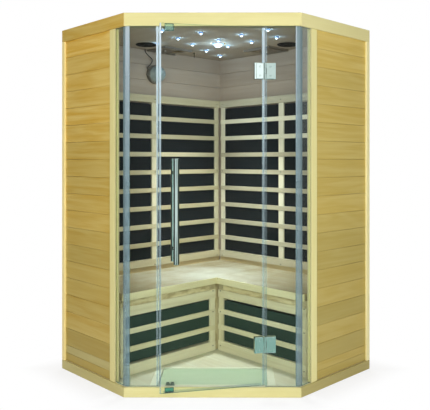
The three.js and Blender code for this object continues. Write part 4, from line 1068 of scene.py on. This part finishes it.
for level in ("lower", "upper"):
    for leaf, body, spot in (("pane", "cabin", hinge_spot), ("door", "door", door_spot)):
        node = f"{level}_hinge_{leaf}_leaf"
        softened(node, spot, chrome, body, ease=LEAF_EASE)
        low, high = extent(node, spot)
        edge = high.x if leaf == "pane" else low.x
        ends = sorted((math.copysign(PIN_CLEARANCE, edge), edge - math.copysign(COVER_INSET, edge)))
        bm = new_bmesh()
        cover_high = (ends[1], COVER_RAISE, high.z - COVER_MARGIN)
        add_board(bm, spot, (ends[0], -COVER_RAISE, low.z + COVER_MARGIN), cover_high, ease=COVER_EASE)
        for share in SCREW_SHARES:
            place = (sum(ends) / 2, -COVER_RAISE, low.z + share * (high.z - low.z))
            add_turned(bm, screw_head(0.005, 0.0012), facing_out(spot, place), 20)
        make_piece(f"{level}_hinge_{leaf}_cover", bm, chrome, body)
print("hinge leaves: 4")

# %% [markdown]
# ## Handles
# The handles are round bars on two posts, one outside and one inside, bolted through the glass. Both
# are turned: the bar about its own axis with a rounded rim at each end, and each post with a flange
# that sits on the glass.

# %% Handles
HANDLE_RIM = 0.003
POST_INSET = 0.068
POST_RADIUS = 0.009
FLANGE_RADIUS = 0.013
FLANGE_HEIGHT = 0.004
FLANGE_CHAMFER = 0.0015
TOUCH_GAP = 0.0003               # keeps a fitting's back face off the face that it sits on

glass_low, glass_high = extent("door_glass", door_spot)
for side, sign in (("outer", -1), ("inner", 1)):
    node = f"{side}_door_handle"
    low, high = extent(node, door_spot)
    radius = (high.x - low.x) / 2
    middle = (low + high) / 2
    end = (high.z - low.z) / 2
    bar_y = low.y + radius if sign < 0 else high.y - radius
    face = glass_low.y if sign < 0 else glass_high.y
    rim = [(radius, end - HANDLE_RIM), (radius - HANDLE_RIM / 3, end - HANDLE_RIM / 3),
           (radius - HANDLE_RIM, end), (0, end)]
    bar = [(across, -up) for across, up in reversed(rim)] + rim
    bm = new_bmesh()
    add_turned(bm, bar, door_spot @ Matrix.Translation((middle.x, bar_y, middle.z)), 48)
    post = [(0, TOUCH_GAP), (FLANGE_RADIUS, TOUCH_GAP), (FLANGE_RADIUS, FLANGE_HEIGHT - FLANGE_CHAMFER),
            (FLANGE_RADIUS - FLANGE_CHAMFER, FLANGE_HEIGHT), (POST_RADIUS, FLANGE_HEIGHT),
            (POST_RADIUS, abs(bar_y - face) - TOUCH_GAP)]
    for height in (middle.z - end + POST_INSET, middle.z + end - POST_INSET):
        add_turned(bm, post, facing_out(door_spot, (middle.x, face, height), sign), 32)
    make_piece(f"{side}_door_handle_bar", bm, chrome, "door", [node])
print("handles:", round(2 * end, 3), "m long")

# %% [markdown]
# ## Strikes and catches
# Small plates at the top and the bottom of the door meet the catches on the cabin. A plate is a frame
# of four thin boards round a sunk face, which is green metal below and clear above. A catch is a foot
# with two rings, turned from the outline of their wall.

# %% Strikes and catches
STRIKE_RIM = 0.003
STRIKE_SUNK = 0.0006
CATCH_FOOT = 0.003
CATCH_EASE = 0.0006
RING_HEIGHT = 0.010
RING_INNER = 0.0065
RING_OUTER = 0.0085
RING_SHARES = (0.25, 0.75)

green_plate = plain_finish("green_plate", (84, 160, 132), Metallic=0.3, Roughness=0.3)
strike_rim = plain_finish("strike_rim", (58, 92, 80), Metallic=0.4, Roughness=0.3)
catch_steel = plain_finish("catch_steel", (120, 134, 128), Metallic=0.7, Roughness=0.3)
clear_plate = see_through("clear_plate", (0.82, 0.92, 0.88, 1), 0.3, 0.2,
                          Base_Color=linear(196, 224, 206), Roughness=0.1)
plate_face = {"top": clear_plate, "bottom": green_plate}


def tube(inner, outer, foot, top):
    return [(inner, foot), (outer, foot), (outer, top), (inner, top), (inner, foot)]


def strike(level):
    node = f"door_{level}_strike"
    low, high = extent(node, door_spot)
    inner_low, inner_high = low.x + STRIKE_RIM, high.x - STRIKE_RIM
    bm = new_bmesh()
    for near, far in ((low.x, inner_low), (inner_high, high.x)):
        add_board(bm, door_spot, (near, low.y, low.z), (far, high.y, high.z), UPRIGHT, SEAL_EASE)
    for near, far in ((low.z, low.z + STRIKE_RIM), (high.z - STRIKE_RIM, high.z)):
        add_board(bm, door_spot, (inner_low, low.y, near), (inner_high, high.y, far), ALONG, SEAL_EASE)
    face_low = (inner_low, low.y + STRIKE_SUNK, low.z + STRIKE_RIM)
    face_high = (inner_high, high.y - STRIKE_SUNK, high.z - STRIKE_RIM)
    add_board(bm, door_spot, face_low, face_high, ease=0, finish=1)
    finishes = [strike_rim, plate_face[level]]
    make_piece(f"door_{level}_strike_plate", bm, finishes, "door", [node])


def catch(level):
    node = f"{level}_catch"
    low, high = extent(node, hinge_spot)
    foot, top = (low.z, low.z + CATCH_FOOT) if level == "bottom" else (high.z - CATCH_FOOT, high.z)
    bm = new_bmesh()
    add_board(bm, hinge_spot, (low.x, low.y, foot), (high.x, high.y, top), ease=CATCH_EASE)
    base = top if level == "bottom" else foot - RING_HEIGHT
    for share in RING_SHARES:
        place = (low.x + share * (high.x - low.x), (low.y + high.y) / 2, base)
        ring = tube(RING_INNER, RING_OUTER, 0, RING_HEIGHT)
        add_turned(bm, ring, hinge_spot @ Matrix.Translation(place), 28)
    make_piece(f"{level}_catch_rings", bm, catch_steel, stands_for=[node],
               smooth=ROUND_SHADING)


for level in ("top", "bottom"):
    strike(level)
    catch(level)
print("strikes and catches: 2 each")

# %% [markdown]
# ## Star lights
# The star lights are small crystals under the ceiling, round a domed lamp. The solid only has plain
# tips, so their places are found from its points: those under the ceiling fall into groups, one for
# each tip. The glow is white in the middle of a crystal and turns deep blue at its rim, which paints
# the blue glare round each light. The `tone` attribute holds how far out each point lies.

# %% Star lights
STAR_GLOW = 6.0
STAR_RADIUS = 0.011
STAR_REACH = 0.03                # points closer than this belong to one tip
TIP_DROP = 0.011
LAMP_RADIUS = 0.035
LAMP_DROP = 0.006
LAMP_RIM = 0.004
DOME_RADIUS = 0.023
DOME_DROP = 0.016
DOME_STEPS = 8
LIT_CORE = 0.45

ceiling_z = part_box("ceiling_panel")[0].z
hanging = Matrix.Rotation(math.pi, 4, "X")
star_points = points_in("star_lights", world_spot)
rims = {tuple(round(x, 4) for x in point) for point in star_points if point.z < ceiling_z - TIP_DROP}
star_groups = []
for point in sorted(rims):
    near = [group for group in star_groups if (Vector(point) - group[0]).length < STAR_REACH]
    if near:
        near[0].append(Vector(point))
    else:
        star_groups.append([Vector(point)])
star_tips = [sum(group, Vector()) / len(group) for group in star_groups]
lamp_rim = [point for point in star_points if abs(point.z - ceiling_z + LAMP_DROP) < 0.0005]
lamp_face = sum(lamp_rim, Vector()) / len(lamp_rim)

stars, paint, shader = new_finish("star_light", Base_Color=(0.2, 0.24, 0.3, 1), Roughness=0.15,
                                  Emission_Strength=STAR_GLOW)
rim_share = paint.node("ShaderNodeAttribute", {"attribute_name": "tone"}, None, output=2)
lit = ((rim_share - LIT_CORE) * 3.0).clamped()
# The blue rim of the glow is painted glare.
feed(lit.blend((0.86, 0.94, 1.0, 1), (0.012, 0.035, 0.1, 1)), shader, "Emission Color")

crystal = [(0, 0.012), (0.004, 0.0115), (0.008, 0.008), (STAR_RADIUS, 0.003), (STAR_RADIUS, TOUCH_GAP),
           (0, TOUCH_GAP)]
angles = [math.pi / 2 / DOME_STEPS * step for step in range(DOME_STEPS + 1)]
dome = [(DOME_RADIUS * math.sin(angle), LAMP_DROP + DOME_DROP * math.cos(angle)) for angle in angles]
ring = [(LAMP_RADIUS - LAMP_RIM, LAMP_DROP), (LAMP_RADIUS, LAMP_RIM), (LAMP_RADIUS, TOUCH_GAP), (0, TOUCH_GAP)]
lights = [(tip, crystal, STAR_RADIUS, 8) for tip in star_tips] + [(lamp_face, dome + ring, LAMP_RADIUS, 40)]
bm = new_bmesh()
rim_layer = bm.verts.layers.float["tone"]
for centre, profile, lit_radius, steps in lights:
    before = set(bm.verts)
    add_turned(bm, profile, Matrix.Translation((centre.x, centre.y, ceiling_z)) @ hanging, steps)
    for vert in fresh_from(bm, before):
        vert[rim_layer] = (vert.co.xy - centre.xy).length / lit_radius
make_piece("star_crystals", bm, stars, stands_for=["star_lights"])
print("stars:", len(star_tips))

# %% [markdown]
# ## Speakers and vents
# A speaker shows a black rim round a cloth that is stretched over rings, so its profile steps in and
# out along the radius and is turned once. Each vent is a frame with a shutter that slides in it, which
# rides on its own body.

# %% Speakers and vents
SPEAKER_RINGS = 9
SPEAKER_RIM = 0.010
RIM_DROP = 0.006
CLOTH_DROP = 0.0045
RING_DROP = 0.0032
VENT_EASE = 0.001

speaker_black = plain_finish("speaker_black", (12, 12, 12), Roughness=0.75)
for hand in HANDS:
    node = f"{hand}_speaker"
    low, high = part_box(node)
    centre = (low + high) / 2
    radius = (high.x - low.x) / 2
    inner = radius - SPEAKER_RIM
    depth = high.z - ceiling_z
    profile = [(0, CLOTH_DROP)]
    for ring in range(SPEAKER_RINGS):
        near, far = inner * (ring + 0.3) / SPEAKER_RINGS, inner * (ring + 0.8) / SPEAKER_RINGS
        profile += [(near, CLOTH_DROP), (near, RING_DROP), (far, RING_DROP), (far, CLOTH_DROP)]
    profile += [(inner, CLOTH_DROP), (inner + 0.002, RIM_DROP), (radius - 0.003, RIM_DROP), (radius, 0.003),
                (radius, TOUCH_GAP), (inner, TOUCH_GAP), (inner, -depth), (0, -depth)]
    bm = new_bmesh()
    add_turned(bm, profile, Matrix.Translation((centre.x, centre.y, ceiling_z)) @ hanging, 40)
    make_piece(f"{hand}_speaker_grille", bm, speaker_black, stands_for=[node],
               smooth=ROUND_SHADING)
for hand in HANDS:
    spot = back_spot[hand]
    softened(f"{hand}_vent_frame", spot, vent_timber, ease=VENT_EASE)
    softened(f"{hand}_vent_shutter", spot, vent_timber, f"{hand}_shutter", VENT_EASE)
print("speaker width", round(2 * radius, 3), "m")

# %% [markdown]
# ## Vent shafts and roof screws
# A dark sleeve lines each vent hole from the ceiling to the roof, with a wire screen at the top; the
# sleeve's dark finish paints the shade inside the hole. The wires are drawn by the finish's alpha,
# because thousands of real wires would say no more. The corners of the roof are the hull of its top
# points, and what is left are the points of the two holes. Screws hold the roof down along its edge.

# %% Vent shafts and roof screws
SLEEVE_WALL = 0.0015
SCREEN_WALL = 0.001
SCREEN_DROP = 0.004
SCREEN_PLAY = 0.002
WIRE_PITCH = 0.005
WIRE_SHARE = 0.35
ROOF_SCREW_STEP = 0.22
ROOF_SCREW_INSET = 0.045
SAME_HEIGHT = 0.0005

dark_steel = plain_finish("dark_steel", (62, 74, 70), Metallic=0.7, Roughness=0.4)
# The sleeve's dark finish is painted shade inside the vent hole.
vent_shade = plain_finish("vent_shade", (44, 38, 32), Roughness=0.7)
vent_mesh, paint, shader = new_finish("vent_mesh", Base_Color=linear(52, 48, 44), Metallic=0.5, Roughness=0.5)
spans = [paint.here().axis(index) * (1 / WIRE_PITCH) for index in (0, 1)]
wires = [span.sum("FRACT", span) < WIRE_SHARE for span in spans]
feed((wires[0] + wires[1]).clamped(), shader, "Alpha")

roof_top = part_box("roof_cover")[1].z
top_points = [point for point in points_in("roof_cover", world_spot) if roof_top - point.z < SAME_HEIGHT]
roof_points = [Vector(point) for point in sorted({tuple(round(x, 4) for x in p.xy) for p in top_points})]
roof_corners = [roof_points[index] for index in convex_hull_2d(roof_points)]
hole_points = [point for point in roof_points if point not in roof_corners]
for hand, sign in (("left", -1), ("right", 1)):
    ring = [point for point in hole_points if point.x * sign > 0]
    centre = sum(ring, Vector((0, 0))) / len(ring)
    radius = (ring[0] - centre).length - SAME_HEIGHT
    foot, top = ceiling_z + 0.002, roof_top - 0.001
    middle = Matrix.Translation((centre.x, centre.y, 0))
    bm = new_bmesh()
    add_turned(bm, tube(radius - SLEEVE_WALL, radius, foot, top), middle, 48)
    screen = tube(0, radius - SCREEN_PLAY, top - SCREEN_DROP, top - SCREEN_DROP + SCREEN_WALL)[:-1]
    add_turned(bm, screen, middle, 48, finish=1)
    make_piece(f"{hand}_vent_screen", bm, [vent_shade, vent_mesh], smooth=ROUND_SHADING)

bm = new_bmesh()
roof_middle = sum(roof_corners, Vector((0, 0))) / len(roof_corners)
roof_screws = 0
for start, end in zip(roof_corners, roof_corners[1:] + roof_corners[:1]):
    steps = max(2, round((end - start).length / ROOF_SCREW_STEP))
    for step in range(steps):
        point = start.lerp(end, (step + 0.5) / steps).lerp(roof_middle, ROOF_SCREW_INSET)
        add_turned(bm, screw_head(0.0045, 0.0008), Matrix.Translation((point.x, point.y, roof_top)), 14)
        roof_screws += 1
make_piece("roof_screws", bm, dark_steel, smooth=ROUND_SHADING)
print("roof screws:", roof_screws)

# %% [markdown]
# ## Probe and wall lamp
# The temperature probe hangs under the ceiling. The wall lamp has a metal housing with a frosted lens,
# and a lead that runs up to the ceiling. The lens is a quarter of an ellipse, turned.

# %% Probe and wall lamp
PROBE_EASE = 0.0004
HOUSING_EASE = 0.001
LENS_STEPS = 12

cable_black = plain_finish("cable_black", (40, 36, 32), Roughness=0.55)
lamp_metal = plain_finish("lamp_metal", (112, 108, 98), Metallic=0.3, Roughness=0.4)
lamp_lens = plain_finish("lamp_lens", (182, 200, 200), Metallic=0.6, Roughness=0.22)
softened("temperature_probe", world_spot, cable_black, ease=PROBE_EASE,
         smooth=BLUNT_SHADING)
left_back = back_spot["left"]
softened("wall_lamp_housing", left_back, lamp_metal, ease=HOUSING_EASE,
         smooth=ROUND_SHADING)
low, high = extent("wall_lamp_lens", left_back)
radius = (high.x - low.x) / 2
angles = [math.pi / 2 * step / LENS_STEPS for step in range(LENS_STEPS + 1)]
profile = [(0, 0)] + [(radius * math.cos(a), (high.y - low.y) * math.sin(a)) for a in angles]
centre = ((low.x + high.x) / 2, low.y, (low.z + high.z) / 2)
bm = new_bmesh()
add_turned(bm, profile, facing_out(left_back, centre, 1), 40)
make_piece("wall_lamp_dome", bm, lamp_lens, stands_for=["wall_lamp_lens"],
           smooth=BLUNT_SHADING)
softened("wall_lamp_lead", left_back, cable_black, ease=0, smooth=LEAD_SHADING)
print("lens radius", round(radius, 3), "m")

# %% [markdown]
# ## Control panel, power box and grille screws
# A control panel sits on the right side, with a dark display over two rows of touch keys. A power box
# under the bench feeds everything, with a lid on four screws. The last piece of all is the screws that
# hold the slats to their stiles.

# %% Control panel, power box and grille screws
PANEL_EASE = 0.003
DISPLAY_MARGIN = 0.12
DISPLAY_RAISE = 0.0006
DISPLAY_EASE = 0.0003
KEY_ROWS = (0.16, 0.34)
KEY_COLUMNS = (0.2, 0.4, 0.6, 0.8)
KEY_PROFILE = [(0, 0), (0.006, 0), (0.006, 0.0008), (0.005, 0.0012), (0, 0.0012)]
LID_INSET = 0.006
LID_RAISE = 0.0012
LID_EASE = 0.0005
LID_SCREW_INSET = 0.02
SCREW_RADIUS = 0.0036
SCREW_RAISE = 0.0005

panel_black = plain_finish("panel_black", (30, 31, 34), Roughness=0.3)
display = plain_finish("display", (14, 22, 26), Roughness=0.08)
key_grey = plain_finish("key_grey", (134, 138, 140), Roughness=0.4)
box_steel = plain_finish("box_steel", (186, 188, 186), Metallic=0.6, Roughness=0.45)

right_side = side_spot["right"]
softened("control_panel", right_side, panel_black, ease=PANEL_EASE)
low, high = extent("control_panel", right_side)
width, tall = high.x - low.x, high.z - low.z
margin = DISPLAY_MARGIN * width
bm = new_bmesh()
display_high = (high.x - margin, high.y + DISPLAY_RAISE, high.z - DISPLAY_MARGIN * tall)
add_board(bm, right_side, (low.x + margin, high.y, low.z + 0.5 * tall), display_high, ease=DISPLAY_EASE)
for row in KEY_ROWS:
    for column in KEY_COLUMNS:
        place = (low.x + column * width, high.y, low.z + row * tall)
        add_turned(bm, KEY_PROFILE, facing_out(right_side, place, 1), 20, finish=1)
make_piece("control_panel_keys", bm, [display, key_grey], smooth=ROUND_SHADING)

right_back = back_spot["right"]
softened("power_box", right_back, box_steel, ease=TRIM_EASE)
low, high = extent("power_box", right_back)
lid = high.y + LID_RAISE
bm = new_bmesh()
lid_high = (high.x - LID_INSET, lid, high.z - LID_INSET)
add_board(bm, right_back, (low.x + LID_INSET, high.y, low.z + LID_INSET), lid_high, ease=LID_EASE)
for x in (low.x + LID_SCREW_INSET, high.x - LID_SCREW_INSET):
    for z in (low.z + LID_SCREW_INSET, high.z - LID_SCREW_INSET):
        add_turned(bm, screw_head(0.004, 0.001), facing_out(right_back, (x, lid, z), 1), 14)
make_piece("power_box_lid", bm, box_steel, smooth=ROUND_SHADING)

bm = new_bmesh()
for place, spot in screw_places:
    add_turned(bm, screw_head(SCREW_RADIUS, SCREW_RAISE), facing_out(spot, place, 1), 12)
make_piece("grille_screws", bm, dark_steel, smooth=ROUND_SHADING)
print("keys:", len(KEY_ROWS) * len(KEY_COLUMNS), "grille screws:", len(screw_places))

# %% [markdown]
# ## Floor and world
# A white floor and a white world make the plain background. Camera rays see part of the floor's white
# as a glow, which fades close to the cabin, so the floor keeps the cabin's shadow. Chrome sees the floor
# as plain white only far in front of the cabin.

# %% Floor and world
FLOOR_HALF = 30.0
FLOOR_DROP = 0.0005
FLOOR_GLOW = 0.78
GLOW_FULL = 0.2                  # distance from the cabin where the floor is plain white
MIRROR_FROM = 3.0                # how far in front of the cabin chrome sees the floor as plain white
WORLD_LIGHT = 0.34
CAMERA_RAY, GLOSSY_RAY, TRANSMISSION_RAY = 0, 3, 6
WHITE = (1, 1, 1, 1)


def seen_by(paint, *kinds):
    """1 for a ray of the kinds that are named, such as one from the camera, and else 0."""
    rays = [paint.node("ShaderNodeLightPath", None, None, output=kind) for kind in kinds]
    return sum(rays[1:], rays[0]).clamped()


floor_bm = bmesh.new()
bmesh.ops.create_grid(floor_bm, x_segments=1, y_segments=1, size=FLOOR_HALF)
bmesh.ops.translate(floor_bm, vec=(0, 0, -FLOOR_DROP), verts=floor_bm.verts)
floor_mesh = bpy.data.meshes.new("floor")
floor_bm.to_mesh(floor_mesh)
floor_bm.free()
floor = bpy.data.objects.new("floor", floor_mesh)
scene.collection.objects.link(floor)

floor_finish, paint, shader = new_finish("floor_white", Base_Color=(0.9, 0.9, 0.9, 1), Roughness=0.9)
glow = paint.node("ShaderNodeEmission", None, {"Color": WHITE, "Strength": 1.0})
seen = paint.here()
across = seen.axis(0)
across = across.sum("ABSOLUTE", across)
behind = seen.axis(1)
past_side = (across - behind - (rear_x - rear_y)) * math.sqrt(0.5)
past_back = (across + behind - back_y) * math.sqrt(0.5)
past_front = front_y - behind
distance = past_side.sum("MAXIMUM", past_side, past_back.sum("MAXIMUM", past_back, past_front))
faded = paint.node("ShaderNodeMapRange", {"interpolation_type": "SMOOTHSTEP"}, {
    0: distance, 1: 0.0, 2: GLOW_FULL, 3: FLOOR_GLOW, 4: 1.0})
mirrored = seen_by(paint, GLOSSY_RAY) * (past_front > MIRROR_FROM)
share = (seen_by(paint, CAMERA_RAY, TRANSMISSION_RAY) * faded + mirrored).clamped()
lit = Paint(paint.tree, shader.outputs[0])
show(paint.node("ShaderNodeMixShader", None, {0: share, 1: lit, 2: glow}))
floor_mesh.materials.append(floor_finish)

world = bpy.data.worlds.new("studio")
scene.world = world
world.use_nodes = True
paint = Paint(world.node_tree)
direct = seen_by(paint, CAMERA_RAY, GLOSSY_RAY, TRANSMISSION_RAY)
strength = direct * (1.0 - WORLD_LIGHT) + WORLD_LIGHT
sky = paint.node("ShaderNodeBackground", None, {"Color": WHITE, "Strength": strength})
feed(sky, world.node_tree.nodes["World Output"], "Surface")
print("floor and world ready")

# %% [markdown]
# ## Lamps
# A wide soft lamp stands in front of the cabin, and a weaker one lights its back. Inside, a spot under
# the ceiling lamp throws its pool of light on the bench, and a weak point fills the room. Small blue
# points under the crystals make the halos on the ceiling.

# %% Lamps
HALO_POWER = 0.16
LAMP_HALO_POWER = 6 * HALO_POWER


def add_lamp(name, kind, place, aim, power, **settings):
    data = bpy.data.lights.new(name, kind)
    data.energy = power
    for setting, value in settings.items():
        setattr(data, setting, value)
    lamp = bpy.data.objects.new(name, data)
    lamp.location = place
    lamp.rotation_euler = (Vector(aim) - Vector(place)).to_track_quat("-Z", "Y").to_euler()
    lamp.visible_camera = False
    lamp.visible_glossy = False
    scene.collection.objects.link(lamp)


def under(point, drop):
    return point - Vector((0, 0, drop))


add_lamp("key", "AREA", (0.0, -3.9, 1.5), (0, 0, 0.9), 96, shape="RECTANGLE", size=2.6, size_y=1.5)
add_lamp("ceiling_glow", "SPOT", under(lamp_face, 0.02), (0, 0.12, 0), 112, spot_size=1.3, spot_blend=1.0,
         shadow_soft_size=0.05, color=(0.93, 0.97, 1.0))
add_lamp("back_fill", "AREA", (0, 3.8, 3.4), (0, 0, 1.0), 85, shape="RECTANGLE", size=3.0, size_y=1.5)
add_lamp("room_fill", "POINT", (0, -0.1, 1.35), (0, 0, 0), 3.2, shadow_soft_size=0.3,
         color=(1.0, 0.98, 0.96))
add_lamp("lamp_halo", "POINT", under(lamp_face, 0.03), (0, 0, 0), LAMP_HALO_POWER,
         shadow_soft_size=0.01, color=(0.4, 0.66, 1.0))
for index, tip in enumerate(star_tips):
    add_lamp(f"halo_{index}", "POINT", under(tip, 0.006), (0, 0, 0), HALO_POWER,
             shadow_soft_size=0.004, color=(0.3, 0.58, 1.0))
print("lamps:", len(bpy.data.lights))

# %% [markdown]
# ## Cards
# Chrome and glass are only as good as what they mirror. These cards are seen by mirrors alone, as the
# flags and reflectors round a studio table: dark ones at the sides and in front give the chrome its
# edges, and a bright one gives it a sparkle.

# %% Cards
CARD_LIFT = 0.002
FLAG_TOP = 2.8
DARK_FLAG = (0.05, 0.06, 0.055)


def add_card(name, corners, colour):
    mesh = bpy.data.meshes.new(name)
    mesh.from_pydata(corners, [], [(0, 1, 2, 3)])
    finish, paint, shader = new_finish(name)
    show(paint.node("ShaderNodeEmission", None, {"Color": (*colour, 1), "Strength": 1.0}))
    mesh.materials.append(finish)
    card = bpy.data.objects.new(name, mesh)
    scene.collection.objects.link(card)
    for kind in ("camera", "diffuse", "transmission", "volume_scatter", "shadow"):
        setattr(card, f"visible_{kind}", False)


def upright_card(name, start, finish, low, high, colour):
    add_card(name, [(*start, low), (*finish, low), (*finish, high), (*start, high)], colour)


def flat_card(name, width, near, far, colour):
    corners = [(-width, near), (width, near), (width, far), (-width, far)]
    add_card(name, [(*corner, CARD_LIFT) for corner in corners], colour)


flat_card("floor_card", 2.6, -1.0, -4.0, (0.42, 0.6, 0.55))
flat_card("dark_floor_card", 1.3, -4.0, -7.4, (0.1, 0.14, 0.12))
upright_card("left_flag", (-2.0, -2.4), (-2.2, 1.2), 0, FLAG_TOP, DARK_FLAG)
upright_card("right_flag", (2.0, -2.4), (2.2, 1.2), 0, FLAG_TOP, DARK_FLAG)
upright_card("front_flag", (-0.75, -4.3), (0.75, -4.3), 0.9, 1.4, (0.2, 0.26, 0.25))
upright_card("bright_card", (1.3, -4.0), (2.5, -3.2), 1.7, 2.6, (1.6, 1.5, 1.55))
print("cards:", sum(name.endswith(("card", "flag")) for name in bpy.data.meshes.keys()))
